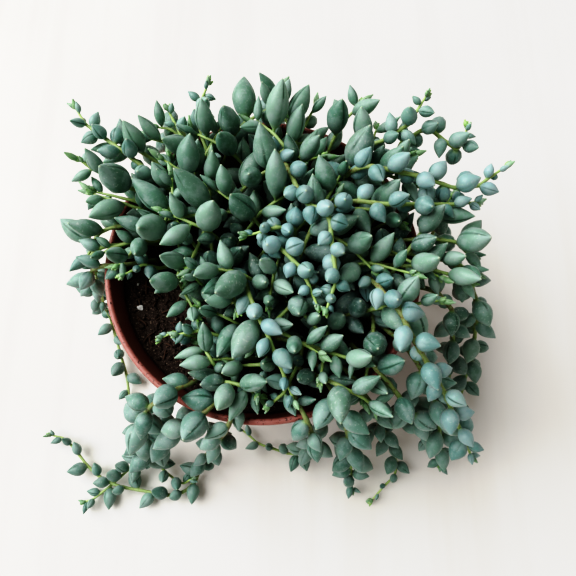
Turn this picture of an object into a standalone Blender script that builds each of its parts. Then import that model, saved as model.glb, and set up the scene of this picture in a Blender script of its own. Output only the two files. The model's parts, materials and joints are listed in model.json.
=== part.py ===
"""A potted string of beads: a plastic pot filled with soil, clumps of short leafy stems that fill it,
and long strands that lie over the crown, hang over the rim or trail along the surface below.
Metres, +Z up. +X is right, +Y is away from the viewer, and the origin is the centre of the pot's base."""

import math
import random

import bmesh
import bpy
import numpy as np
from mathutils import Matrix, Vector

MM = 0.001

# Pot
POT_HEIGHT = 0.105
RIM_RADIUS = 0.070
BASE_RADIUS = 0.050
COLLAR_HEIGHT = 0.020
COLLAR_TAPER = 0.0016
COLLAR_STEP = 0.0016
LIP = 0.0027
LIP_ROUND = 0.0009
WALL = 0.0024
BASE_THICKNESS = 0.0024
POT_STEPS = 36
DRAIN_HOLES = 5
DRAIN_RADIUS = 0.0019
DRAIN_CIRCLE = 0.028
DRAIN_SIDES = 8

# Soil, and the holes that the stems stand in
SOIL_TOP = 0.094
GAP = 0.0003
ROOT_DEPTH = 0.008
HOLE_SIDES = 4

# Stems and leaves
STEM_RADIUS = 0.0009
TIP_STEM_RADIUS = 0.0005
STEM_TOLERANCE = 0.0014
LEAF_SIDES = 4
# A leaf longer than this has one more ring
LONG_LEAF = 0.0170
LARGE_LEAF = 0.0150
SMALL_LEAF = 0.0105
# Of the small leaves of each piece, one in this many is kept
SMALL_KEPT = 6
# A leaf in the crown is buried where another lies this far above it and no further than this to a side
COVER_HEIGHT = 0.003
COVER_REACH = 0.010
TIP_LEAVES = 5
LEAF_ROOT = 0.0003
LEAF_SPREAD = math.radians(52)
GOLDEN_ANGLE = math.radians(137.508)
LOW = 0.014
SUNK = 0.0020

# Kinds of stem: leaf length, leaf radius as a share of it, distance between leaves, bare length at the root
KINDS = {
    "crown": (0.0172, 0.265, 0.0062, 0.005),
    "bead": (0.0082, 0.40, 0.0050, 0.010),
    "blue": (0.0104, 0.33, 0.0062, 0.012),
    "young": (0.0102, 0.31, 0.0049, 0.010),
    "cluster": (0.0125, 0.31, 0.0056, 0.006),
    "trail": (0.0134, 0.31, 0.0076, 0.012),
    "floor": (0.0110, 0.30, 0.0086, 0.008),
    "hang": (0.0125, 0.29, 0.0070, 0.032),
}

# Crown: clumps rooted by the golden angle, except in a crescent of bare soil at the left front
CLUMPS = 21
CLUMP_START = 0.4
CROWN_ROOT_RADIUS = 0.054
BARE_SOIL = (math.radians(186), math.radians(240), 0.036)
CROWN_RISE = 0.030
# How much longer, as a share, the crown's leaves grow straight at the back
BACK_EXTRA = 0.28
# Azimuth in degrees and how far the leaves reach from the pot's axis there, in millimetres
REACH = (
    (0, 106), (20, 103), (45, 96), (65, 86), (90, 92), (110, 90), (143, 94), (160, 95), (180, 86),
    (200, 52), (225, 50), (250, 60), (270, 68), (290, 82), (310, 98), (330, 104), (345, 106), (360, 106),
)

# Strands: name, kind, root (x, y) in the soil, then the line that the stem follows, in millimetres.
# Two strands of one name grow from one root.
STRANDS = [
    ("rim_left", "trail", [
        (-21, -48), (-28, -53, 109), (-36, -57, 112), (-44, -62, 105), (-57, -68, 76), (-66, -78, 42),
        (-69, -87, 18), (-65, -96, 8), (-57, -103, 5), (-49, -106, 5), (-44, -102, 6)]),
    ("rim_front_left", "trail", [
        (-13, -52), (-18, -59, 108), (-24, -65, 111), (-31, -70, 98), (-45, -75, 66), (-61, -82, 34),
        (-75, -92, 12), (-88, -103, 5), (-101, -114, 5), (-108, -119, 5)]),
    ("floor_long", "floor", [
        (-5, -52), (-9, -61, 108), (-12, -69, 111), (-18, -75, 88), (-27, -81, 52), (-36, -90, 22),
        (-42, -100, 7), (-48, -109, 5), (-61, -112, 5), (-76, -109, 5), (-91, -105, 5), (-105, -98, 5),
        (-116, -87, 5), (-125, -80, 5), (-132, -78, 7)]),
    ("floor_back_left", "floor", [
        (-50, 3), (-61, -2, 108), (-70, -3, 110), (-79, -3, 96), (-93, -2, 55), (-101, -6, 14),
        (-99, -19, 5), (-94, -31, 5), (-90, -43, 5), (-88, -53, 5), (-85, -64, 5), (-79, -74, 5)]),
    ("wall_left", "floor", [
        (-50, 11), (-63, 5, 109), (-72, 2, 110), (-80, 0, 94), (-88, -3, 62), (-94, -7, 40)]),
    ("front_drop", "trail", [
        (22, -42), (28, -53, 108), (32, -62, 111), (35, -69, 102), (38, -75, 80), (42, -83, 54),
        (45, -92, 30), (48, -101, 14), (50, -109, 6)]),
    ("front_floor", "floor", [
        (11, -50), (14, -58, 108), (18, -66, 110), (21, -73, 98), (24, -78, 66), (22, -84, 34),
        (16, -89, 10), (6, -88, 5), (-3, -85, 5), (-11, -81, 5), (-19, -74, 5)]),
    ("front_right_drop", "trail", [
        (39, -36), (44, -44, 110), (50, -52, 112), (57, -59, 106), (66, -65, 88), (76, -70, 64),
        (85, -77, 44), (91, -85, 28)]),
    ("front_right_floor", "floor", [
        (30, -40), (36, -50, 109), (41, -58, 112), (47, -64, 102), (55, -69, 72), (64, -78, 38),
        (72, -88, 14), (76, -96, 5), (73, -103, 5), (66, -109, 5), (60, -115, 5)]),
    ("right_long", "blue", [
        (43, 0), (44, -14, 124), (49, -23, 131), (54, -31, 131), (58, -39, 128), (64, -46, 121),
        (71, -54, 113), (78, -61, 102), (86, -69, 88), (93, -77, 73), (101, -86, 60)]),
    ("right_drop", "trail", [
        (48, -24), (57, -38, 112), (64, -48, 110), (72, -57, 98), (80, -65, 76), (87, -75, 54),
        (93, -85, 34), (97, -95, 20)]),
    ("right_hang_near", "hang", [
        (53, -8), (69, -14, 111), (78, -19, 108), (87, -24, 92), (98, -32, 58), (106, -42, 28),
        (108, -53, 8), (102, -63, 5)]),
    ("right_hang_far", "hang", [
        (54, 9), (76, -2, 113), (89, -8, 106), (100, -18, 84), (108, -30, 56), (112, -43, 32),
        (114, -56, 14), (112, -69, 6)]),
    ("top_right", "blue", [
        (33, 34), (34, 29, 126), (42, 29, 134), (52, 27, 134), (61, 26, 132), (70, 24, 129),
        (80, 24, 125), (90, 27, 122), (98, 33, 120), (104, 37, 120)]),
    ("top_right_low", "blue", [
        (20, 19), (29, 17, 127), (38, 16, 133), (50, 15, 132), (61, 17, 129), (73, 18, 125),
        (84, 20, 121), (92, 22, 118)]),
    ("back_right_up", "young", [
        (41, 38), (43, 45, 119), (50, 47, 123), (58, 52, 123), (64, 57, 123), (68, 62, 124), (71, 67, 126)]),
    ("back_right_arc", "young", [
        (50, 26), (59, 47, 114), (66, 54, 117), (73, 56, 118), (80, 54, 116), (87, 49, 114),
        (91, 53, 114), (92, 59, 116)]),
    ("top_mid", "bead", [
        (-2, 48), (5, 43, 122), (9, 35, 126), (12, 27, 129), (15, 19, 132), (19, 13, 135), (24, 10, 137),
        (27, 5, 137), (27, -1, 136), (28, -7, 134), (29, -13, 132), (29, -18, 130), (26, -27, 128)]),
    ("top_left_mid", "bead", [(17, 5), (14, 7, 124), (9, 6, 130), (4, 4, 131), (-5, 2, 130)]),
    ("centre_diag", "bead", [
        (-3, 3), (4, 1, 124), (8, -3, 130), (12, -7, 131), (17, -12, 130), (20, -17, 129), (22, -25, 127)]),
    ("front_mid", "blue", [
        (-10, 0), (-6, -17, 124), (-3, -25, 127), (-1, -32, 126), (2, -38, 124), (4, -44, 121),
        (7, -50, 118), (9, -56, 116), (12, -61, 114)]),
    ("front_left_top", "cluster", [
        (-6, -35), (-13, -35, 108), (-20, -34, 112), (-27, -33, 113), (-33, -34, 112)]),
    ("front_left_low", "cluster", [(-4, -42), (-11, -44, 106), (-19, -44, 108), (-27, -44, 107)]),
    ("front_low", "cluster", [(2, -36), (3, -43, 107), (2, -50, 110), (-2, -57, 111)]),
    ("front_low_right", "cluster", [
        (18, -34), (17, -42, 108), (14, -50, 111), (9, -57, 112), (4, -61, 112)]),
    ("soil_left", "bead", [(-24, -33), (-29, -34, 107), (-34, -33, 109), (-38, -33, 110), (-41, -35, 110)]),
    ("rim_left_tip", "bead", [(-42, 0), (-46, -3, 107), (-50, -3, 111), (-54, -5, 112), (-58, -8, 112)]),
    ("left_back", "young", [
        (-38, 32), (-44, 32, 111), (-49, 36, 117), (-54, 40, 119), (-61, 45, 120), (-67, 50, 120),
        (-73, 54, 120), (-79, 59, 120), (-83, 65, 121)]),
    ("left", "crown", [
        (-42, 22), (-50, 27, 112), (-58, 29, 116), (-65, 32, 117), (-72, 37, 117), (-77, 42, 118)]),
    ("left", "crown", [(-42, 22), (-51, 20, 113), (-62, 22, 117), (-73, 24, 115)]),
    ("left_low", "crown", [(-45, 12), (-56, 13, 111), (-66, 11, 113), (-73, 8, 108), (-79, 4, 99)]),
    ("left_low", "crown", [
        (-45, 12), (-42, 7, 109), (-41, 11, 116), (-38, 17, 121), (-37, 23, 123), (-38, 30, 124)]),
    ("left_mid", "cluster", [(-22, 3), (-26, 4, 109), (-29, 7, 115), (-33, 11, 119), (-36, 15, 121)]),
    ("back_mid", "crown", [(3, 47), (4, 54, 112), (5, 62, 117), (5, 70, 119), (4, 77, 119)]),
    ("back_mid", "crown", [(3, 47), (12, 54, 113), (19, 62, 117), (23, 69, 117)]),
    ("back_right", "crown", [(27, 44), (30, 52, 112), (34, 59, 117), (38, 66, 118), (42, 72, 118)]),
    ("back_right", "crown", [(27, 44), (40, 46, 113), (48, 51, 117), (54, 57, 117)]),
    ("right", "crown", [(46, 4), (56, 6, 111), (66, 6, 116), (76, 5, 116), (85, 4, 112), (92, 2, 106)]),
    ("right", "crown", [(46, 4), (54, -4, 112), (65, -7, 117), (76, -10, 116), (85, -13, 112)]),
    ("back_left", "young", [
        (-21, 42), (-26, 50, 113), (-29, 56, 117), (-30, 63, 119), (-28, 70, 121), (-25, 76, 123)]),
    ("back_left_low", "young", [(-30, 40), (-35, 53, 113), (-39, 59, 117), (-42, 66, 119)]),
    ("back_hang_left", "hang", [
        (-25, 48), (-36, 60, 110), (-43, 67, 108), (-49, 74, 92), (-53, 80, 66), (-55, 84, 42),
        (-54, 86, 24)]),
    ("back_hang_mid", "hang", [
        (6, 54), (6, 67, 110), (6, 76, 108), (5, 84, 90), (3, 89, 62), (2, 92, 36), (4, 96, 14),
        (9, 102, 5)]),
    ("right_hang_back", "hang", [
        (50, 17), (68, 24, 110), (78, 27, 106), (87, 29, 84), (91, 30, 56), (92, 28, 30), (94, 26, 12),
        (98, 20, 5)]),
]
# More short stems with full-size leaves, from the same roots as the strands they are named after
EDGE_STEMS = [
    ("left_back", "crown", [(-38, 32), (-46, 42, 111), (-55, 47, 116), (-62, 50, 116), (-70, 52, 114)]),
    ("back_left", "crown", [(-21, 42), (-30, 51, 111), (-38, 58, 115), (-46, 64, 116)]),
    ("left", "crown", [(-42, 22), (-54, 25, 110), (-64, 27, 114), (-73, 30, 114)]),
    ("left_low", "crown", [(-45, 12), (-56, 8, 109), (-65, 4, 112), (-72, 0, 110)]),
    ("back_right", "crown", [(27, 44), (39, 37, 113), (51, 39, 118), (63, 44, 119)]),
    ("right", "crown", [(46, 4), (60, 1, 113), (72, -2, 117), (83, -5, 115), (89, -7, 112)]),
]

# How the stems and leaves make room for each other
CLEARANCE = 0.0004
STEM_CLEARANCE = 0.0010
PUSH = 0.45
FURTHEST_MOVE = 0.0012
SHRINK = 0.82
SMALLEST = 0.5
THINNING = ((40, 0.0018), (30, 0.0012), (30, 0.0009), (30, 0.0007), (30, 0.0005), (30, 0.0004))
# The pot as the plant meets it: lines in the plane of radius and height, each with half its thickness
COLLAR_HALF = 0.0017
POT_LINES = (
    ((RIM_RADIUS - COLLAR_HALF, POT_HEIGHT - COLLAR_HALF),
     (RIM_RADIUS - COLLAR_TAPER - COLLAR_HALF, POT_HEIGHT - COLLAR_HEIGHT + COLLAR_HALF), COLLAR_HALF),
    ((RIM_RADIUS - COLLAR_TAPER - COLLAR_STEP - WALL / 2, POT_HEIGHT - COLLAR_HEIGHT),
     (BASE_RADIUS - WALL / 2, WALL / 2), WALL / 2),
)


def reach_at(azimuth):
    degrees, millimetres = zip(*REACH)
    return float(np.interp(math.degrees(azimuth) % 360, degrees, millimetres)) * MM


def crown_strands():
    """Clumps of short stems spread over the soil by the golden angle, and more at the edge."""
    draw = random.Random(11)
    bare_from, bare_to, bare_beyond = BARE_SOIL
    found = []
    for clump in range(CLUMPS):
        azimuth = (clump * GOLDEN_ANGLE + CLUMP_START) % (2 * math.pi)
        share = math.sqrt((clump + 0.6) / CLUMPS)
        radius = CROWN_ROOT_RADIUS * share
        if bare_from < azimuth < bare_to and radius > bare_beyond:
            continue
        count = 3 if share < 0.6 else 2
        for stem in range(count):
            lean = azimuth + (stem - (count - 1) / 2) * (2.0 - 1.1 * share) + draw.uniform(-0.2, 0.2)
            length_share = (0.34 + 0.62 * share * share) * (1.0 if stem else 0.8)
            end = radius + (reach_at(lean) - 0.013 - radius) * length_share
            rise = CROWN_RISE - 0.006 * share + draw.uniform(-0.004, 0.004)
            droop = (0.010 - 0.008 * math.sin(lean)) * share**4
            start = radius * np.array([math.cos(azimuth), math.sin(azimuth)])
            stop = end * np.array([math.cos(lean), math.sin(lean)])
            route = [tuple(start / MM)]
            for along, height in ((0.18, 0.6), (0.45, 0.95), (0.75, 1.0), (1.0, 1.0)):
                x, y = start + (stop - start) * along
                z = SOIL_TOP + rise * height - droop * along**2
                if abs(math.hypot(x, y) - RIM_RADIUS) < 0.012:
                    z = max(z, POT_HEIGHT + 0.004)
                route.append((x / MM, y / MM, z / MM))
            found.append((f"clump_{clump:02d}", "crown", route))
    return found + EDGE_STEMS


def smooth_line(points, per_span=8):
    """A curve through all the points, as many short steps."""
    run = [2 * points[0] - points[1], *points, 2 * points[-1] - points[-2]]
    line = []
    for a, b, c, d in zip(run, run[1:], run[2:], run[3:]):
        for step in range(per_span):
            t = step / per_span
            bend = 2 * a - 5 * b + 4 * c - d
            line.append(0.5 * (2 * b + (c - a) * t + bend * t**2 + (3 * b - a - 3 * c + d) * t**3))
    line.append(points[-1])
    return np.array(line)


def grow(kind, route, seed):
    """The nodes along one stem, and its leaves as (node, direction, length, radius)."""
    length, plump, gap, bare = KINDS[kind]
    if kind == "crown":
        longer = 1 + BACK_EXTRA * max(0.0, route[-1][1] / math.hypot(*route[-1][:2]))
        length, gap = length * longer, gap * longer
    root = np.array([route[0][0] * MM, route[0][1] * MM, SOIL_TOP])
    up = np.array([0.0, 0.0, 1.0])
    line = smooth_line([root + up * SUNK] + [np.array(point) * MM for point in route[1:]])
    along = np.concatenate([[0], np.cumsum(np.linalg.norm(np.diff(line, axis=0), axis=1))])
    total = along[-1]
    marks = []
    mark = 0.0
    while mark < total - 0.0015:
        marks.append(mark)
        mark += gap * min(1.0, 0.35 + 0.65 * (total - mark) / 0.022)
    marks.append(total)
    nodes = np.column_stack([np.interp(marks, along, line[:, axis]) for axis in range(3)])
    nodes = np.vstack([root - up * ROOT_DEPTH, nodes])
    draw = random.Random(1000 + seed)
    phase = draw.uniform(0, 2 * math.pi)
    last = len(nodes) - 1
    leaves = []
    for node in range(2, last + 1):
        if marks[node - 1] < bare and node < last - 2:
            continue
        tangent = nodes[min(node + 1, last)] - nodes[node - 1]
        tangent /= np.linalg.norm(tangent)
        side = np.cross(tangent, up if abs(tangent[2]) < 0.9 else np.array([1.0, 0.0, 0.0]))
        side /= np.linalg.norm(side)
        turn = phase + node * GOLDEN_ANGLE
        from_tip = last - node
        spread = LEAF_SPREAD * (0.45 + 0.55 * min(1, from_tip / 3)) + draw.uniform(-0.15, 0.15)
        radial = side * math.cos(turn) + np.cross(side, tangent) * math.sin(turn)
        aim = tangent * math.cos(spread) + radial * math.sin(spread)
        if kind != "hang":
            aim = aim + up * 0.2
        if kind == "crown":
            outward = nodes[node] * np.array([1.0, 1.0, 0.0])
            aim = aim + up * 0.15 + 0.45 * outward / np.linalg.norm(outward)
        if nodes[node][2] < LOW:
            aim[2] = abs(aim[2])
        aim /= np.linalg.norm(aim)
        young = TIP_LEAVES - 2 if kind == "crown" else TIP_LEAVES
        size = length * draw.uniform(0.82, 1.18) * min(1.0, 0.34 + 0.66 * from_tip / young)
        radius = size * plump * draw.uniform(0.92, 1.06) * (0.72 + 0.28 * min(1, from_tip / TIP_LEAVES))
        leaves.append((node, aim, size, radius))
    return nodes, leaves


def corners(points, tolerance):
    """Indices of the points that a line needs to stay within the tolerance of all of them."""
    ahead = points[-1] - points[0]
    reach = np.clip((points - points[0]) @ ahead / max(ahead @ ahead, 1e-12), 0, 1)
    off = np.linalg.norm(points - points[0] - reach[:, None] * ahead, axis=1)
    far = int(np.argmax(off))
    if off[far] <= tolerance:
        return [0, len(points) - 1]
    before = corners(points[:far + 1], tolerance)
    return before[:-1] + [far + index for index in corners(points[far:], tolerance)]


class Tangle:
    """All the stems and leaves as round-ended rods on shared points, which push each other clear."""

    def __init__(self, strands):
        self.names = [name for name, _, _ in strands]
        self.kinds = [kind for _, kind, _ in strands]
        self.stems, leaves, points, sunk = [], [], [], []
        for strand, (name, kind, route) in enumerate(strands):
            nodes, grown = grow(kind, route, strand)
            first = len(points)
            points += list(nodes)
            sunk += [first, first + 1]
            self.stems.append(list(range(first, first + len(nodes))))
            leaves += [(strand, first + node, aim, size, radius) for node, aim, size, radius in grown]
        self.stem_points = len(points)
        self.leaf_strand = np.array([leaf[0] for leaf in leaves])
        self.leaf_base = np.array([leaf[1] for leaf in leaves])
        self.leaf_tip = np.arange(len(leaves)) + self.stem_points
        self.aim = np.array([leaf[2] for leaf in leaves])
        self.size = np.array([leaf[3] for leaf in leaves])
        points = np.array(points)
        self.points = np.vstack([points, points[self.leaf_base] + self.aim * self.size[:, None]])
        self.rest = self.points.copy()
        self.mobility = np.where(np.arange(len(self.points)) < self.stem_points, 0.35, 1.0)
        self.mobility[sunk] = 0.0

        body = [self.names.index(name) for name in self.names]
        self.links = np.array([pair for stem in self.stems for pair in zip(stem, stem[1:])])
        link_body = [body[strand] for strand, stem in enumerate(self.stems) for _ in stem[1:]]
        self.link_strand = np.array([strand for strand, stem in enumerate(self.stems) for _ in stem[1:]])
        self.bends = np.array([
            (stem[i - 1], stem[i], stem[i + 1]) for stem in self.stems for i in range(2, len(stem) - 1)])
        self.link_length = np.linalg.norm(np.diff(self.points[self.links], axis=1)[:, 0], axis=1)
        leaf_radius = np.array([leaf[4] for leaf in leaves])
        inset = np.minimum(0.45, leaf_radius / self.size)
        self.ends = np.vstack([self.links, np.column_stack([self.leaf_base, self.leaf_tip])])
        self.share = np.vstack([
            np.tile([0.0, 1.0], (len(self.links), 1)), np.column_stack([inset, 1 - inset])])
        self.radius = np.concatenate([np.full(len(self.links), STEM_RADIUS), leaf_radius])
        self.full_radius = self.radius.copy()
        self.body = np.array(link_body + [body[strand] for strand in self.leaf_strand])
        self.is_leaf = np.arange(len(self.ends)) >= len(self.links)
        self.alive = np.ones(len(self.ends), bool)

    def rods(self):
        start, stop = self.points[self.ends[:, 0]], self.points[self.ends[:, 1]]
        return start + (stop - start) * self.share[:, :1], start + (stop - start) * self.share[:, 1:]

    def near_pairs(self, margin):
        """Pairs of rods that could touch, apart from rods that meet at a point of one stem."""
        start, stop = self.rods()
        middle = (start + stop) / 2
        reach = np.linalg.norm(stop - start, axis=1) / 2 + self.radius + margin
        i, j = np.triu_indices(len(middle), 1)
        close = np.linalg.norm(middle[i] - middle[j], axis=1) < reach[i] + reach[j]
        i, j = i[close], j[close]
        a, b = self.ends[i], self.ends[j]
        joined = (a[:, 0] == b[:, 0]) | (a[:, 0] == b[:, 1]) | (a[:, 1] == b[:, 0])
        same_stem = (self.body[i] == self.body[j]) & ~self.is_leaf[i] & ~self.is_leaf[j] & (j - i < 4)
        keep = ~(joined | same_stem) & self.alive[i] & self.alive[j]
        return i[keep], j[keep]

    def contacts(self, i, j):
        """Where two rods come closest: the share along each, the direction apart and the distance."""
        start, stop = self.rods()
        along_i, along_j = stop[i] - start[i], stop[j] - start[j]
        offset = start[i] - start[j]
        a, e = (along_i * along_i).sum(1) + 1e-14, (along_j * along_j).sum(1) + 1e-14
        b, c, f = (along_i * along_j).sum(1), (along_i * offset).sum(1), (along_j * offset).sum(1)
        s = np.clip((b * f - c * e) / np.maximum(a * e - b * b, 1e-20), 0, 1)
        t = np.clip((b * s + f) / e, 0, 1)
        s = np.clip((b * t - c) / a, 0, 1)
        apart = offset + along_i * s[:, None] - along_j * t[:, None]
        distance = np.linalg.norm(apart, axis=1)
        return s, t, apart / np.maximum(distance, 1e-9)[:, None], distance

    def push_apart(self, i, j):
        s, t, normal, distance = self.contacts(i, j)
        room = np.where(self.is_leaf[i] | self.is_leaf[j], CLEARANCE, STEM_CLEARANCE)
        depth = self.radius[i] + self.radius[j] + room - distance
        hit = depth > 0
        i, j, s, t, normal, depth = i[hit], j[hit], s[hit], t[hit], normal[hit], depth[hit]
        at_i = self.share[i, 0] + s * (self.share[i, 1] - self.share[i, 0])
        at_j = self.share[j, 0] + t * (self.share[j, 1] - self.share[j, 0])
        pulls = (
            (self.ends[i, 0], 1 - at_i, 1), (self.ends[i, 1], at_i, 1),
            (self.ends[j, 0], 1 - at_j, -1), (self.ends[j, 1], at_j, -1))
        total = sum(share * share * self.mobility[point] for point, share, _ in pulls)
        push = PUSH * depth / np.maximum(total, 1e-6)
        move = np.zeros_like(self.points)
        for point, share, sign in pulls:
            np.add.at(move, point, (sign * share * self.mobility[point] * push)[:, None] * normal)
        size = np.linalg.norm(move, axis=1)
        self.points += move * np.minimum(1, FURTHEST_MOVE / np.maximum(size, 1e-12))[:, None]

    def outside(self, along):
        """At a share of the way along each rod: its place, and how to move it out of pot, soil and floor."""
        start, stop = self.rods()
        place = start + (stop - start) * along
        r = np.hypot(place[:, 0], place[:, 1]) + 1e-9
        push = np.zeros_like(place)
        for top, foot, half in POT_LINES:
            top, line = np.array(top), np.subtract(foot, top)
            from_top = np.column_stack([r, place[:, 2]]) - top
            away = from_top - np.clip(from_top @ line / (line @ line), 0, 1)[:, None] * line
            distance = np.linalg.norm(away, axis=1) + 1e-9
            depth = np.maximum(half + self.radius + CLEARANCE + GAP - distance, 0)
            away *= (depth / distance)[:, None]
            push[:, :2] += place[:, :2] * (away[:, 0] / r)[:, None]
            push[:, 2] += away[:, 1]
        lowest = np.where(r < RIM_RADIUS - 0.004, SOIL_TOP + 2 * GAP + CLEARANCE, GAP) + self.radius
        above_soil = self.mobility[self.ends[:, 0]] + self.mobility[self.ends[:, 1]] > 0
        push[:, 2] += np.maximum(lowest - place[:, 2], 0) * above_soil
        return push

    def deepest_outside(self):
        """How far each rod would have to move to stand clear of pot, soil and floor."""
        return np.max([
            np.linalg.norm(self.outside(along), axis=1) for along in (0.0, 0.25, 0.5, 0.75, 1.0)], axis=0)

    def keep_out(self):
        """Lifts what lies in the surface below or in the soil, and moves it out of the pot's wall."""
        for along in (0.0, 0.5, 1.0):
            push = 0.4 * self.outside(along)
            share = self.share[:, 0] + along * (self.share[:, 1] - self.share[:, 0])
            for end, part in ((0, 1 - share), (1, share)):
                point = self.ends[:, end]
                np.add.at(self.points, point, push * (part * (self.mobility[point] > 0))[:, None])

    def hold_shape(self):
        """Keeps the stems' lengths and bends, and turns each leaf back towards its own direction."""
        a, b = self.links.T
        mobility = self.mobility
        for _ in range(3):
            ahead = self.points[b] - self.points[a]
            length = np.linalg.norm(ahead, axis=1) + 1e-9
            total = np.maximum(mobility[a] + mobility[b], 1e-6)
            fix = ((length - self.link_length) / length / total * 0.5)[:, None] * ahead
            move = np.zeros_like(self.points)
            np.add.at(move, a, fix * mobility[a][:, None])
            np.add.at(move, b, -fix * mobility[b][:, None])
            self.points += move
        before, here, after = self.bends.T
        bend = (self.points[before] + self.points[after]) / 2 - self.points[here]
        rest_bend = (self.rest[before] + self.rest[after]) / 2 - self.rest[here]
        mobile = (mobility > 0)[:, None]
        self.points[here] += 0.3 * (bend - rest_bend) * mobile[here]
        stems = slice(0, self.stem_points)
        self.points[stems] += 0.02 * (self.rest[stems] - self.points[stems]) * mobile[stems]
        base, tip = self.leaf_base, self.leaf_tip
        self.points[tip] += 0.03 * (self.points[base] + self.aim * self.size[:, None] - self.points[tip])
        ahead = self.points[tip] - self.points[base]
        ahead *= (self.size / np.linalg.norm(ahead, axis=1))[:, None]
        self.points[tip] = self.points[base] + ahead

    def settle(self, rounds):
        for step in range(rounds):
            if step % 8 == 0:
                i, j = self.near_pairs(0.004)
            self.push_apart(i, j)
            self.keep_out()
            self.hold_shape()
            # rounding keeps the result the same on every machine
            self.points = np.round(self.points, 7)

    def thin(self, deepest):
        """Shrinks the lower of two leaves that press further into each other, and a leaf that a stem
        pierces, and drops a leaf that has become too small."""
        i, j = self.near_pairs(0.001)
        depth = self.radius[i] + self.radius[j] - self.contacts(i, j)[3]
        height = sum(self.rods())[:, 2]
        shrunk = set()
        for pair in np.argsort(-depth, kind="stable"):
            a, b = i[pair], j[pair]
            if depth[pair] < deepest:
                break
            if self.is_leaf[b] and a not in shrunk and b not in shrunk:
                shrunk.add(a if self.is_leaf[a] and height[a] < height[b] else b)
        rods = np.array(sorted(shrunk), int)
        self.radius[rods] *= SHRINK
        self.size[rods - len(self.links)] *= SHRINK
        self.alive[rods] &= self.radius[rods] > SMALLEST * self.full_radius[rods]

    def straighten(self):
        """Keeps only the corners that each stem needs, and moves its other nodes onto the lines between.
        Stems that this brings too close together keep more of their corners."""
        relaxed = self.points.copy()
        tolerance = np.full(len(self.stems), STEM_TOLERANCE)
        for _ in range(5):
            self.points = relaxed.copy()
            self.corners = [self.straight_stem(stem, allowed) for stem, allowed in zip(self.stems, tolerance)]
            i, j = self.near_pairs(0.001)
            both = ~self.is_leaf[i] & ~self.is_leaf[j] & (self.body[i] != self.body[j])
            i, j = i[both], j[both]
            close = self.contacts(i, j)[3] < 2 * STEM_RADIUS + GAP
            at_pot = ~self.is_leaf & (self.deepest_outside() > CLEARANCE)
            crowded = np.concatenate([i[close], j[close], np.flatnonzero(at_pot)])
            tolerance[np.unique(self.link_strand[crowded])] *= 0.5
        self.mobility[:self.stem_points] = 0.0

    def straight_stem(self, stem, tolerance):
        line = self.points[stem]
        kept = [0] + [1 + index for index in corners(line[1:], tolerance)]
        for first, last in zip(kept, kept[1:]):
            ahead = line[last] - line[first]
            for index in range(first + 1, last):
                share = (line[index] - line[first]) @ ahead / (ahead @ ahead)
                self.points[stem[index]] = line[first] + share * ahead
        return [stem[index] for index in kept]

    def slim(self, gap):
        """Narrows the leaves that still touch another plant's, and drops those that would get too thin."""
        for _ in range(12):
            i, j = self.near_pairs(0.001)
            depth = self.radius[i] + self.radius[j] + gap - self.contacts(i, j)[3]
            touching = (depth > 0) & (self.body[i] != self.body[j])
            for a, b, excess in zip(i[touching], j[touching], depth[touching]):
                both = self.is_leaf[a] and self.is_leaf[b]
                for rod in (a, b):
                    if self.is_leaf[rod]:
                        self.radius[rod] -= excess * (0.55 if both else 1.05)
            self.alive &= self.radius > SMALLEST * self.full_radius
        self.alive &= ~self.is_leaf | (self.deepest_outside() < CLEARANCE)

    def arrange(self):
        for rounds, deepest in THINNING:
            self.settle(rounds)
            self.thin(deepest)
        self.settle(60)
        self.straighten()
        self.settle(40)
        self.thin(THINNING[-1][1])
        self.slim(GAP)

    def leaves(self):
        """Each leaf that is left: strand, base point, tip point, length, radius."""
        for leaf, strand in enumerate(self.leaf_strand):
            rod = len(self.links) + leaf
            if self.alive[rod]:
                base, tip = self.points[self.leaf_base[leaf]], self.points[self.leaf_tip[leaf]]
                yield strand, base, tip, self.size[leaf], self.radius[rod]


def in_sight(leaves, kinds):
    """All the leaves, except for those of the crown that are neither large nor in sight from above."""
    middles = np.array([(base + tip) / 2 for _, base, tip, _, _ in leaves])
    inside = (np.hypot(middles[:, 0], middles[:, 1]) < RIM_RADIUS) & (middles[:, 2] > SOIL_TOP)
    offset = middles - middles[:, None]
    covered = (np.linalg.norm(offset[..., :2], axis=2) < COVER_REACH) & (offset[..., 2] > COVER_HEIGHT)
    crown = np.array([kinds[strand] == "crown" for strand, *_ in leaves])
    buried = crown & inside & covered.any(axis=1)
    return [leaf for leaf, under in zip(leaves, buried) if leaf[3] > LARGE_LEAF or not under]


def clear_scene():
    for obj in list(bpy.data.objects):
        bpy.data.objects.remove(obj)


def new_collection(name):
    collection = bpy.data.collections.new(name)
    bpy.context.scene.collection.children.link(collection)
    return collection


def new_object(name, data, collection):
    obj = bpy.data.objects.new(name, data)
    collection.objects.link(obj)
    return obj


def new_material(name, colour, roughness):
    material = bpy.data.materials.new(name)
    material.use_nodes = True
    shader = material.node_tree.nodes["Principled BSDF"]
    shader.inputs["Base Color"].default_value = (*colour, 1.0)
    shader.inputs["Roughness"].default_value = roughness
    shader.inputs["Metallic"].default_value = 0.0
    return material


def mesh_from_bmesh(name, bm):
    mesh = bpy.data.meshes.new(name)
    bm.to_mesh(mesh)
    bm.free()
    return mesh


def turned(name, profile, collection):
    """A round piece: its profile, from the axis and back to it, turned about Z."""
    bm = bmesh.new()
    verts = [bm.verts.new((radius, 0.0, height)) for radius, height in profile]
    for pair in zip(verts, verts[1:]):
        bm.edges.new(pair)
    obj = new_object(name, mesh_from_bmesh(name, bm), collection)
    screw = obj.modifiers.new("Screw", "SCREW")
    screw.axis = "Z"
    screw.steps = POT_STEPS
    screw.render_steps = POT_STEPS
    screw.use_merge_vertices = True
    screw.merge_threshold = 0.00005
    return obj


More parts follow.
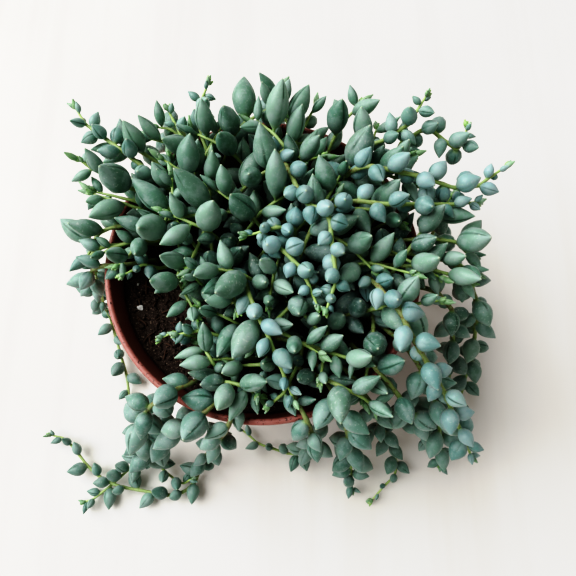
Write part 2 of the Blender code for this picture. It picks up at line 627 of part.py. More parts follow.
def cut(obj, cutters):
    boolean = obj.modifiers.new("Holes", "BOOLEAN")
    boolean.operation = "DIFFERENCE"
    boolean.operand_type = "COLLECTION"
    boolean.collection = cutters


def add_cutter(name, sides, radius, bottom, top, x, y, cutters):
    """An upright prism that cuts a hole."""
    bm = bmesh.new()
    bmesh.ops.create_cone(
        bm, cap_ends=True, segments=sides, radius1=radius, radius2=radius, depth=top - bottom)
    cutter = new_object(name, mesh_from_bmesh(name, bm), cutters)
    cutter.location = (x, y, (bottom + top) / 2)
    cutter.hide_render = True
    cutter.display_type = "WIRE"


def inner_radius(height):
    """The pot's inside radius at a height."""
    collar_foot = POT_HEIGHT - COLLAR_HEIGHT
    below_collar = RIM_RADIUS - COLLAR_TAPER - COLLAR_STEP - WALL
    return float(np.interp(
        height, (0.0, collar_foot, POT_HEIGHT), (BASE_RADIUS - WALL, below_collar, RIM_RADIUS - LIP)))


def add_pot(collection, material):
    collar_foot = POT_HEIGHT - COLLAR_HEIGHT
    collar_radius = RIM_RADIUS - COLLAR_TAPER
    profile = [
        (0.0, BASE_THICKNESS),
        (inner_radius(BASE_THICKNESS), BASE_THICKNESS),
        (inner_radius(collar_foot), collar_foot),
        (RIM_RADIUS - LIP, POT_HEIGHT - LIP_ROUND),
        (RIM_RADIUS - LIP + LIP_ROUND, POT_HEIGHT),
        (RIM_RADIUS - LIP_ROUND, POT_HEIGHT),
        (RIM_RADIUS, POT_HEIGHT - LIP_ROUND),
        (collar_radius, collar_foot + LIP_ROUND),
        (collar_radius - LIP_ROUND, collar_foot),
        (collar_radius - COLLAR_STEP, collar_foot),
        (BASE_RADIUS, LIP_ROUND),
        (BASE_RADIUS - LIP_ROUND, 0.0),
        (0.0, 0.0),
    ]
    pot = turned("pot", profile, collection)
    cutters = new_collection("drain_holes")
    for hole in range(DRAIN_HOLES):
        angle = 2 * math.pi * hole / DRAIN_HOLES
        x, y = DRAIN_CIRCLE * math.cos(angle), DRAIN_CIRCLE * math.sin(angle)
        add_cutter(
            f"drain_hole_{hole}", DRAIN_SIDES, DRAIN_RADIUS, -BASE_THICKNESS, 2 * BASE_THICKNESS,
            x, y, cutters)
    cut(pot, cutters)
    pot.data.materials.append(material)


def add_soil(tangle, collection, material):
    foot = BASE_THICKNESS + GAP
    collar_foot = POT_HEIGHT - COLLAR_HEIGHT
    profile = [
        (0.0, SOIL_TOP),
        (inner_radius(SOIL_TOP) - GAP, SOIL_TOP),
        (inner_radius(collar_foot) - GAP, collar_foot),
        (inner_radius(foot) - GAP, foot),
        (0.0, foot),
    ]
    soil = turned("soil", profile, collection)
    cutters = new_collection("root_holes")
    hole_radius = (STEM_RADIUS + GAP) / math.cos(math.pi / HOLE_SIDES)
    for name, stem in zip(tangle.names, tangle.stems):
        if name + "_hole" not in bpy.data.objects:
            x, y, bottom = tangle.points[stem[0]]
            add_cutter(
                name + "_hole", HOLE_SIDES, hole_radius, bottom - GAP, SOIL_TOP + 0.001, x, y, cutters)
    cut(soil, cutters)
    soil.data.materials.append(material)


def stem_piece(name, points, collection):
    """A stem as a square tube that narrows towards its tip."""
    curve = bpy.data.curves.new(name, "CURVE")
    curve.dimensions = "3D"
    curve.bevel_depth = STEM_RADIUS
    curve.bevel_resolution = 0
    curve.use_fill_caps = True
    spline = curve.splines.new("POLY")
    spline.points.add(len(points) - 1)
    for index, (spline_point, point) in enumerate(zip(spline.points, points)):
        spline_point.co = (*point, 1.0)
        near_tip = max(0.0, 1 - (len(points) - 1 - index) / 3)
        spline_point.radius = 1 + (TIP_STEM_RADIUS / STEM_RADIUS - 1) * near_tip
    guide = new_object(name + "_line", curve, collection)
    bpy.context.view_layer.update()
    mesh = bpy.data.meshes.new_from_object(guide.evaluated_get(bpy.context.evaluated_depsgraph_get()))
    bm = bmesh.new()
    bm.from_mesh(mesh)
    bmesh.ops.remove_doubles(bm, verts=bm.verts, dist=0.00001)
    bmesh.ops.recalc_face_normals(bm, faces=bm.faces)
    bm.to_mesh(mesh)
    bm.free()
    bpy.data.objects.remove(guide)
    bpy.data.curves.remove(curve)
    return new_object(name, mesh, collection)


def leaf_mesh(name, rings):
    """A pointed bead of unit length and radius along Z, widest below its middle."""
    bm = bmesh.new()
    bmesh.ops.create_uvsphere(bm, u_segments=LEAF_SIDES, v_segments=rings + 1, radius=1.0)
    for vert in bm.verts:
        out = math.hypot(vert.co.x, vert.co.y)
        if out > 0.1:
            width = 1.0 if vert.co.z < 0.1 else 0.92
            vert.co.x *= width / out
            vert.co.y *= width / out
        vert.co.z = float(np.interp(vert.co.z, (-1.0, -0.5, 0.0, 0.5, 1.0), (0.0, 0.29, 0.46, 0.65, 1.0)))
    return mesh_from_bmesh(name, bm)


def leaf_piece(name, mesh, base, tip, radius, collection):
    obj = new_object(name, mesh, collection)
    ahead = Vector(tip) - Vector(base)
    ahead.length += LEAF_ROOT
    base = Vector(tip) - ahead
    turn = ahead.to_track_quat("Z", "Y").to_matrix().to_4x4()
    obj.matrix_world = Matrix.Translation(base) @ turn @ Matrix.Diagonal((radius, radius, ahead.length, 1.0))
    return obj


def join(name, pieces, collection, material):
    """One closed body of overlapping pieces: the first takes a union with the others."""
    body, *others = pieces
    group = new_collection(name + "_pieces")
    for piece in others:
        group.objects.link(piece)
        collection.objects.unlink(piece)
    union = body.modifiers.new("Union", "BOOLEAN")
    union.operation = "UNION"
    union.operand_type = "COLLECTION"
    union.collection = group
    union.solver = "MANIFOLD"
    bpy.context.view_layer.update()
    mesh = bpy.data.meshes.new_from_object(body.evaluated_get(bpy.context.evaluated_depsgraph_get()))
    for piece in pieces:
        bpy.data.objects.remove(piece)
    bpy.data.collections.remove(group)
    mesh.materials.clear()
    mesh.materials.append(material)
    new_object(name, mesh, collection)


def add_plants(tangle, collection, materials):
    """A body for each strand or clump: its stems and the leaves that are not too small to matter."""
    long, short = leaf_mesh("long_leaf", 2), leaf_mesh("short_leaf", 1)
    pieces = {name: [] for name in tangle.names}
    small = dict.fromkeys(tangle.names, 0)
    for strand, (name, stem) in enumerate(zip(tangle.names, tangle.corners)):
        pieces[name].append(stem_piece(f"{name}_stem_{strand}", tangle.points[stem], collection))
    for strand, base, tip, size, radius in in_sight(list(tangle.leaves()), tangle.kinds):
        name = tangle.names[strand]
        if size < SMALL_LEAF:
            small[name] += 1
            if small[name] % SMALL_KEPT != 1:
                continue
        mesh = long if size > LONG_LEAF else short
        leaf_name = f"{name}_leaf_{len(pieces[name])}"
        pieces[name].append(leaf_piece(leaf_name, mesh, base, tip, radius, collection))
    kinds = dict(zip(tangle.names, tangle.kinds))
    for name, found in pieces.items():
        join(name, found, collection, materials[kinds[name]])


def main():
    clear_scene()
    tangle = Tangle(STRANDS + crown_strands())
    tangle.arrange()
    collection = new_collection("potted_string_of_beads")
    add_pot(collection, new_material("brick_plastic", (0.30, 0.09, 0.05), 0.55))
    add_soil(tangle, collection, new_material("soil", (0.022, 0.014, 0.010), 0.95))
    green = new_material("green_leaf", (0.075, 0.165, 0.105), 0.42)
    blue = new_material("blue_leaf", (0.13, 0.27, 0.26), 0.5)
    add_plants(tangle, collection, {kind: blue if kind in ("bead", "blue") else green for kind in KINDS})


main()
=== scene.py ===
"""A potted string of beads, dressed: fine leaves, stems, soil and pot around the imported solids.
Metres, +Z up. The layout of the plant repeats the one that its solids were built from."""

import json
import math
import random

import bmesh
import bpy
import numpy as np
from mathutils import Matrix, Vector, noise


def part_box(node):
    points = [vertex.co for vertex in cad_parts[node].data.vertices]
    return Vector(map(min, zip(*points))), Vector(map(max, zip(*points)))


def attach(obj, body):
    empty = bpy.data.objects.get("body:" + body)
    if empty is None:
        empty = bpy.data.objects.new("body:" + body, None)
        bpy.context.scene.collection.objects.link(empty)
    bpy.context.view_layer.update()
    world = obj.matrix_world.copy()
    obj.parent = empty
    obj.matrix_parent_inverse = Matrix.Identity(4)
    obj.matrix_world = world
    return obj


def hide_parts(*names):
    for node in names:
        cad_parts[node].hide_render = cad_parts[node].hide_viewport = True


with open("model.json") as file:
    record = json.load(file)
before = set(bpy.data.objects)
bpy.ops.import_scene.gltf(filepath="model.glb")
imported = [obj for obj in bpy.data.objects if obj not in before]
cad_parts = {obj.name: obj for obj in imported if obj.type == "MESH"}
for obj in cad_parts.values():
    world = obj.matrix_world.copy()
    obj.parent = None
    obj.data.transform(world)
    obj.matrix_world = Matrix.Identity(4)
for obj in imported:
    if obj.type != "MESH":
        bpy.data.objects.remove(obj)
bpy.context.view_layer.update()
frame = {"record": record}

MM = 0.001

# Pot
POT_HEIGHT = 0.105
RIM_RADIUS = 0.070
BASE_RADIUS = 0.050
COLLAR_HEIGHT = 0.020
COLLAR_TAPER = 0.0016
COLLAR_STEP = 0.0016
LIP = 0.0027
LIP_ROUND = 0.0009
WALL = 0.0024
BASE_THICKNESS = 0.0024
DRAIN_HOLES = 5
DRAIN_RADIUS = 0.0019
DRAIN_CIRCLE = 0.028

# Soil
SOIL_TOP = 0.094
GAP = 0.0003
ROOT_DEPTH = 0.008

# Stems and leaves
STEM_RADIUS = 0.0009
STEM_TOLERANCE = 0.0014
TIP_LEAVES = 5
# Over this length before a tip the leaves stand closer and closer, the last no nearer than this to it
TIP_LENGTH = 0.022
LAST_GAP = 0.0015
STEM_SEED = 1000
LEAF_SPREAD = math.radians(52)
GOLDEN_ANGLE = math.radians(137.508)
# Leaves of a stem below this height never point down
LOW = 0.014
# A stem stands straight up to this height above the soil
STRAIGHT_ROOT = 0.0020

# Kinds of stem: leaf length, leaf radius as a share of it, distance between leaves, bare length at the root
KINDS = {
    "crown": (0.0172, 0.265, 0.0062, 0.005),
    "bead": (0.0082, 0.40, 0.0050, 0.010),
    "blue": (0.0104, 0.33, 0.0062, 0.012),
    "young": (0.0102, 0.31, 0.0049, 0.010),
    "cluster": (0.0125, 0.31, 0.0056, 0.006),
    "trail": (0.0134, 0.31, 0.0076, 0.012),
    "floor": (0.0110, 0.30, 0.0086, 0.008),
    "hang": (0.0125, 0.29, 0.0070, 0.032),
}

# Crown: clumps rooted by the golden angle, except in a crescent of bare soil at the left front
CLUMPS = 21
CLUMP_START = 0.4
CROWN_ROOT_RADIUS = 0.054
BARE_SOIL = (math.radians(186), math.radians(240), 0.036)
CROWN_RISE = 0.030
CROWN_SEED = 11
# Shares of a crown stem's way, and of its rise there
CROWN_ROUTE = ((0.18, 0.6), (0.45, 0.95), (0.75, 1.0), (1.0, 1.0))
# How far the last leaves reach past their stem
LEAF_ROOM = 0.013
NEAR_RIM = 0.012
OVER_RIM = 0.004
# How much longer, as a share, the crown's leaves grow straight at the back
BACK_EXTRA = 0.28
# Azimuth in degrees and how far the leaves reach from the pot's axis there, in millimetres
REACH = (
    (0, 106), (20, 103), (45, 96), (65, 86), (90, 92), (110, 90), (143, 94), (160, 95), (180, 86),
    (200, 52), (225, 50), (250, 60), (270, 68), (290, 82), (310, 98), (330, 104), (345, 106), (360, 106),
)

# Strands: name, kind, root (x, y) in the soil, then the line that the stem follows, in millimetres.
# Two strands of one name grow from one root.
STRANDS = [
    ("rim_left", "trail", [
        (-21, -48), (-28, -53, 109), (-36, -57, 112), (-44, -62, 105), (-57, -68, 76), (-66, -78, 42),
        (-69, -87, 18), (-65, -96, 8), (-57, -103, 5), (-49, -106, 5), (-44, -102, 6)]),
    ("rim_front_left", "trail", [
        (-13, -52), (-18, -59, 108), (-24, -65, 111), (-31, -70, 98), (-45, -75, 66), (-61, -82, 34),
        (-75, -92, 12), (-88, -103, 5), (-101, -114, 5), (-108, -119, 5)]),
    ("floor_long", "floor", [
        (-5, -52), (-9, -61, 108), (-12, -69, 111), (-18, -75, 88), (-27, -81, 52), (-36, -90, 22),
        (-42, -100, 7), (-48, -109, 5), (-61, -112, 5), (-76, -109, 5), (-91, -105, 5), (-105, -98, 5),
        (-116, -87, 5), (-125, -80, 5), (-132, -78, 7)]),
    ("floor_back_left", "floor", [
        (-50, 3), (-61, -2, 108), (-70, -3, 110), (-79, -3, 96), (-93, -2, 55), (-101, -6, 14),
        (-99, -19, 5), (-94, -31, 5), (-90, -43, 5), (-88, -53, 5), (-85, -64, 5), (-79, -74, 5)]),
    ("wall_left", "floor", [
        (-50, 11), (-63, 5, 109), (-72, 2, 110), (-80, 0, 94), (-88, -3, 62), (-94, -7, 40)]),
    ("front_drop", "trail", [
        (22, -42), (28, -53, 108), (32, -62, 111), (35, -69, 102), (38, -75, 80), (42, -83, 54),
        (45, -92, 30), (48, -101, 14), (50, -109, 6)]),
    ("front_floor", "floor", [
        (11, -50), (14, -58, 108), (18, -66, 110), (21, -73, 98), (24, -78, 66), (22, -84, 34),
        (16, -89, 10), (6, -88, 5), (-3, -85, 5), (-11, -81, 5), (-19, -74, 5)]),
    ("front_right_drop", "trail", [
        (39, -36), (44, -44, 110), (50, -52, 112), (57, -59, 106), (66, -65, 88), (76, -70, 64),
        (85, -77, 44), (91, -85, 28)]),
    ("front_right_floor", "floor", [
        (30, -40), (36, -50, 109), (41, -58, 112), (47, -64, 102), (55, -69, 72), (64, -78, 38),
        (72, -88, 14), (76, -96, 5), (73, -103, 5), (66, -109, 5), (60, -115, 5)]),
    ("right_long", "blue", [
        (43, 0), (44, -14, 124), (49, -23, 131), (54, -31, 131), (58, -39, 128), (64, -46, 121),
        (71, -54, 113), (78, -61, 102), (86, -69, 88), (93, -77, 73), (101, -86, 60)]),
    ("right_drop", "trail", [
        (48, -24), (57, -38, 112), (64, -48, 110), (72, -57, 98), (80, -65, 76), (87, -75, 54),
        (93, -85, 34), (97, -95, 20)]),
    ("right_hang_near", "hang", [
        (53, -8), (69, -14, 111), (78, -19, 108), (87, -24, 92), (98, -32, 58), (106, -42, 28),
        (108, -53, 8), (102, -63, 5)]),
    ("right_hang_far", "hang", [
        (54, 9), (76, -2, 113), (89, -8, 106), (100, -18, 84), (108, -30, 56), (112, -43, 32),
        (114, -56, 14), (112, -69, 6)]),
    ("top_right", "blue", [
        (33, 34), (34, 29, 126), (42, 29, 134), (52, 27, 134), (61, 26, 132), (70, 24, 129),
        (80, 24, 125), (90, 27, 122), (98, 33, 120), (104, 37, 120)]),
    ("top_right_low", "blue", [
        (20, 19), (29, 17, 127), (38, 16, 133), (50, 15, 132), (61, 17, 129), (73, 18, 125),
        (84, 20, 121), (92, 22, 118)]),
    ("back_right_up", "young", [
        (41, 38), (43, 45, 119), (50, 47, 123), (58, 52, 123), (64, 57, 123), (68, 62, 124), (71, 67, 126)]),
    ("back_right_arc", "young", [
        (50, 26), (59, 47, 114), (66, 54, 117), (73, 56, 118), (80, 54, 116), (87, 49, 114),
        (91, 53, 114), (92, 59, 116)]),
    ("top_mid", "bead", [
        (-2, 48), (5, 43, 122), (9, 35, 126), (12, 27, 129), (15, 19, 132), (19, 13, 135), (24, 10, 137),
        (27, 5, 137), (27, -1, 136), (28, -7, 134), (29, -13, 132), (29, -18, 130), (26, -27, 128)]),
    ("top_left_mid", "bead", [(17, 5), (14, 7, 124), (9, 6, 130), (4, 4, 131), (-5, 2, 130)]),
    ("centre_diag", "bead", [
        (-3, 3), (4, 1, 124), (8, -3, 130), (12, -7, 131), (17, -12, 130), (20, -17, 129), (22, -25, 127)]),
    ("front_mid", "blue", [
        (-10, 0), (-6, -17, 124), (-3, -25, 127), (-1, -32, 126), (2, -38, 124), (4, -44, 121),
        (7, -50, 118), (9, -56, 116), (12, -61, 114)]),
    ("front_left_top", "cluster", [
        (-6, -35), (-13, -35, 108), (-20, -34, 112), (-27, -33, 113), (-33, -34, 112)]),
    ("front_left_low", "cluster", [(-4, -42), (-11, -44, 106), (-19, -44, 108), (-27, -44, 107)]),
    ("front_low", "cluster", [(2, -36), (3, -43, 107), (2, -50, 110), (-2, -57, 111)]),
    ("front_low_right", "cluster", [
        (18, -34), (17, -42, 108), (14, -50, 111), (9, -57, 112), (4, -61, 112)]),
    ("soil_left", "bead", [(-24, -33), (-29, -34, 107), (-34, -33, 109), (-38, -33, 110), (-41, -35, 110)]),
    ("rim_left_tip", "bead", [(-42, 0), (-46, -3, 107), (-50, -3, 111), (-54, -5, 112), (-58, -8, 112)]),
    ("left_back", "young", [
        (-38, 32), (-44, 32, 111), (-49, 36, 117), (-54, 40, 119), (-61, 45, 120), (-67, 50, 120),
        (-73, 54, 120), (-79, 59, 120), (-83, 65, 121)]),
    ("left", "crown", [
        (-42, 22), (-50, 27, 112), (-58, 29, 116), (-65, 32, 117), (-72, 37, 117), (-77, 42, 118)]),
    ("left", "crown", [(-42, 22), (-51, 20, 113), (-62, 22, 117), (-73, 24, 115)]),
    ("left_low", "crown", [(-45, 12), (-56, 13, 111), (-66, 11, 113), (-73, 8, 108), (-79, 4, 99)]),
    ("left_low", "crown", [
        (-45, 12), (-42, 7, 109), (-41, 11, 116), (-38, 17, 121), (-37, 23, 123), (-38, 30, 124)]),
    ("left_mid", "cluster", [(-22, 3), (-26, 4, 109), (-29, 7, 115), (-33, 11, 119), (-36, 15, 121)]),
    ("back_mid", "crown", [(3, 47), (4, 54, 112), (5, 62, 117), (5, 70, 119), (4, 77, 119)]),
    ("back_mid", "crown", [(3, 47), (12, 54, 113), (19, 62, 117), (23, 69, 117)]),
    ("back_right", "crown", [(27, 44), (30, 52, 112), (34, 59, 117), (38, 66, 118), (42, 72, 118)]),
    ("back_right", "crown", [(27, 44), (40, 46, 113), (48, 51, 117), (54, 57, 117)]),
    ("right", "crown", [(46, 4), (56, 6, 111), (66, 6, 116), (76, 5, 116), (85, 4, 112), (92, 2, 106)]),
    ("right", "crown", [(46, 4), (54, -4, 112), (65, -7, 117), (76, -10, 116), (85, -13, 112)]),
    ("back_left", "young", [
        (-21, 42), (-26, 50, 113), (-29, 56, 117), (-30, 63, 119), (-28, 70, 121), (-25, 76, 123)]),
    ("back_left_low", "young", [(-30, 40), (-35, 53, 113), (-39, 59, 117), (-42, 66, 119)]),
    ("back_hang_left", "hang", [
        (-25, 48), (-36, 60, 110), (-43, 67, 108), (-49, 74, 92), (-53, 80, 66), (-55, 84, 42),
        (-54, 86, 24)]),
    ("back_hang_mid", "hang", [
        (6, 54), (6, 67, 110), (6, 76, 108), (5, 84, 90), (3, 89, 62), (2, 92, 36), (4, 96, 14),
        (9, 102, 5)]),
    ("right_hang_back", "hang", [
        (50, 17), (68, 24, 110), (78, 27, 106), (87, 29, 84), (91, 30, 56), (92, 28, 30), (94, 26, 12),
        (98, 20, 5)]),
]
# More short stems with full-size leaves, from the same roots as the strands they are named after
EDGE_STEMS = [
    ("left_back", "crown", [(-38, 32), (-46, 42, 111), (-55, 47, 116), (-62, 50, 116), (-70, 52, 114)]),
    ("back_left", "crown", [(-21, 42), (-30, 51, 111), (-38, 58, 115), (-46, 64, 116)]),
    ("left", "crown", [(-42, 22), (-54, 25, 110), (-64, 27, 114), (-73, 30, 114)]),
    ("left_low", "crown", [(-45, 12), (-56, 8, 109), (-65, 4, 112), (-72, 0, 110)]),
    ("back_right", "crown", [(27, 44), (39, 37, 113), (51, 39, 118), (63, 44, 119)]),
    ("right", "crown", [(46, 4), (60, 1, 113), (72, -2, 117), (83, -5, 115), (89, -7, 112)]),
]

# How the stems and leaves make room for each other: gaps, pushes and pulls of one round, and what
# becomes of a leaf that doesn't fit
CLEARANCE = 0.0004
STEM_CLEARANCE = 0.0010
PUSH = 0.45
KEEP_OUT_PUSH = 0.4
BEND_PULL = 0.3
STEM_PULL = 0.02
LEAF_PULL = 0.03
STEM_MOBILITY = 0.35
# Pairs are looked for this far apart while all moves, and when it rests
MOVING_REACH = 0.004
RESTING_REACH = 0.001
FURTHEST_MOVE = 0.0012
SHRINK = 0.82
SMALLEST = 0.5
# Rounds of settling, each with how deep leaves may press into each other after it
THINNING = ((40, 0.0018), (30, 0.0012), (30, 0.0009), (30, 0.0007), (30, 0.0005), (30, 0.0004))
# The pot as the plant meets it: lines in the plane of radius and height, each with half its thickness
COLLAR_HALF = 0.0017
POT_LINES = (
    ((RIM_RADIUS - COLLAR_HALF, POT_HEIGHT - COLLAR_HALF),
     (RIM_RADIUS - COLLAR_TAPER - COLLAR_HALF, POT_HEIGHT - COLLAR_HEIGHT + COLLAR_HALF), COLLAR_HALF),
    ((RIM_RADIUS - COLLAR_TAPER - COLLAR_STEP - WALL / 2, POT_HEIGHT - COLLAR_HEIGHT),
     (BASE_RADIUS - WALL / 2, WALL / 2), WALL / 2),
)


def reach_at(azimuth):
    degrees, millimetres = zip(*REACH)
    return float(np.interp(math.degrees(azimuth) % 360, degrees, millimetres)) * MM


def crown_strands():
    """Clumps of short stems spread over the soil by the golden angle, and more at the edge."""
    draw = random.Random(CROWN_SEED)
    bare_from, bare_to, bare_beyond = BARE_SOIL
    found = []
    for clump in range(CLUMPS):
        azimuth = (clump * GOLDEN_ANGLE + CLUMP_START) % (2 * math.pi)
        share = math.sqrt((clump + 0.6) / CLUMPS)
        radius = CROWN_ROOT_RADIUS * share
        if bare_from < azimuth < bare_to and radius > bare_beyond:
            continue
        count = 3 if share < 0.6 else 2
        for stem in range(count):
            lean = azimuth + (stem - (count - 1) / 2) * (2.0 - 1.1 * share) + draw.uniform(-0.2, 0.2)
            length_share = (0.34 + 0.62 * share * share) * (1.0 if stem else 0.8)
            end = radius + (reach_at(lean) - LEAF_ROOM - radius) * length_share
            rise = CROWN_RISE - 0.006 * share + draw.uniform(-0.004, 0.004)
            droop = (0.010 - 0.008 * math.sin(lean)) * share**4
            start = radius * np.array([math.cos(azimuth), math.sin(azimuth)])
            stop = end * np.array([math.cos(lean), math.sin(lean)])
            route = [tuple(start / MM)]
            for along, height in CROWN_ROUTE:
                x, y = start + (stop - start) * along
                z = SOIL_TOP + rise * height - droop * along**2
                if abs(math.hypot(x, y) - RIM_RADIUS) < NEAR_RIM:
                    z = max(z, POT_HEIGHT + OVER_RIM)
                route.append((x / MM, y / MM, z / MM))
            found.append((f"clump_{clump:02d}", "crown", route))
    return found + EDGE_STEMS


def smooth_line(points, per_span=8):
    """A curve through all the points, as many short steps."""
    run = [2 * points[0] - points[1], *points, 2 * points[-1] - points[-2]]
    line = []
    for a, b, c, d in zip(run, run[1:], run[2:], run[3:]):
        for step in range(per_span):
            t = step / per_span
            bend = 2 * a - 5 * b + 4 * c - d
            line.append(0.5 * (2 * b + (c - a) * t + bend * t**2 + (3 * b - a - 3 * c + d) * t**3))
    line.append(points[-1])
    return np.array(line)


def leaning(ahead, turn, spread):
    """A direction that leans away from the one ahead by the spread, turned about it."""
    side = np.cross(ahead, (0.0, 0.0, 1.0) if abs(ahead[2]) < 0.9 else (1.0, 0.0, 0.0))
    side /= np.linalg.norm(side)
    radial = side * math.cos(turn) + np.cross(side, ahead) * math.sin(turn)
    return ahead * math.cos(spread) + radial * math.sin(spread)


def grow(kind, route, seed):
    """The nodes along one stem, and its leaves as (node, direction, length, radius)."""
    length, plump, gap, bare = KINDS[kind]
    if kind == "crown":
        longer = 1 + BACK_EXTRA * max(0.0, route[-1][1] / math.hypot(*route[-1][:2]))
        length, gap = length * longer, gap * longer
    root = np.array([route[0][0] * MM, route[0][1] * MM, SOIL_TOP])
    up = np.array([0.0, 0.0, 1.0])
    line = smooth_line([root + up * STRAIGHT_ROOT] + [np.array(point) * MM for point in route[1:]])
    along = np.concatenate([[0], np.cumsum(np.linalg.norm(np.diff(line, axis=0), axis=1))])
    total = along[-1]
    marks = []
    mark = 0.0
    while mark < total - LAST_GAP:
        marks.append(mark)
        mark += gap * min(1.0, 0.35 + 0.65 * (total - mark) / TIP_LENGTH)
    marks.append(total)
    nodes = np.column_stack([np.interp(marks, along, line[:, axis]) for axis in range(3)])
    nodes = np.vstack([root - up * ROOT_DEPTH, nodes])
    draw = random.Random(STEM_SEED + seed)
    phase = draw.uniform(0, 2 * math.pi)
    last = len(nodes) - 1
    leaves = []
    for node in range(2, last + 1):
        if marks[node - 1] < bare and node < last - 2:
            continue
        tangent = nodes[min(node + 1, last)] - nodes[node - 1]
        tangent /= np.linalg.norm(tangent)
        from_tip = last - node
        spread = LEAF_SPREAD * (0.45 + 0.55 * min(1, from_tip / 3)) + draw.uniform(-0.15, 0.15)
        aim = leaning(tangent, phase + node * GOLDEN_ANGLE, spread)
        if kind != "hang":
            aim = aim + up * 0.2
        if kind == "crown":
            outward = nodes[node] * np.array([1.0, 1.0, 0.0])
            aim = aim + up * 0.15 + 0.45 * outward / np.linalg.norm(outward)
        if nodes[node][2] < LOW:
            aim[2] = abs(aim[2])
        aim /= np.linalg.norm(aim)
        young = TIP_LEAVES - 2 if kind == "crown" else TIP_LEAVES
        size = length * draw.uniform(0.82, 1.18) * min(1.0, 0.34 + 0.66 * from_tip / young)
        radius = size * plump * draw.uniform(0.92, 1.06) * (0.72 + 0.28 * min(1, from_tip / TIP_LEAVES))
        leaves.append((node, aim, size, radius))
    return nodes, leaves


def corners(points, tolerance):
    """Indices of the points that a line needs to stay within the tolerance of all of them."""
    ahead = points[-1] - points[0]
    reach = np.clip((points - points[0]) @ ahead / max(ahead @ ahead, 1e-12), 0, 1)
    off = np.linalg.norm(points - points[0] - reach[:, None] * ahead, axis=1)
    far = int(np.argmax(off))
    if off[far] <= tolerance:
        return [0, len(points) - 1]
    before = corners(points[:far + 1], tolerance)
    return before[:-1] + [far + index for index in corners(points[far:], tolerance)]


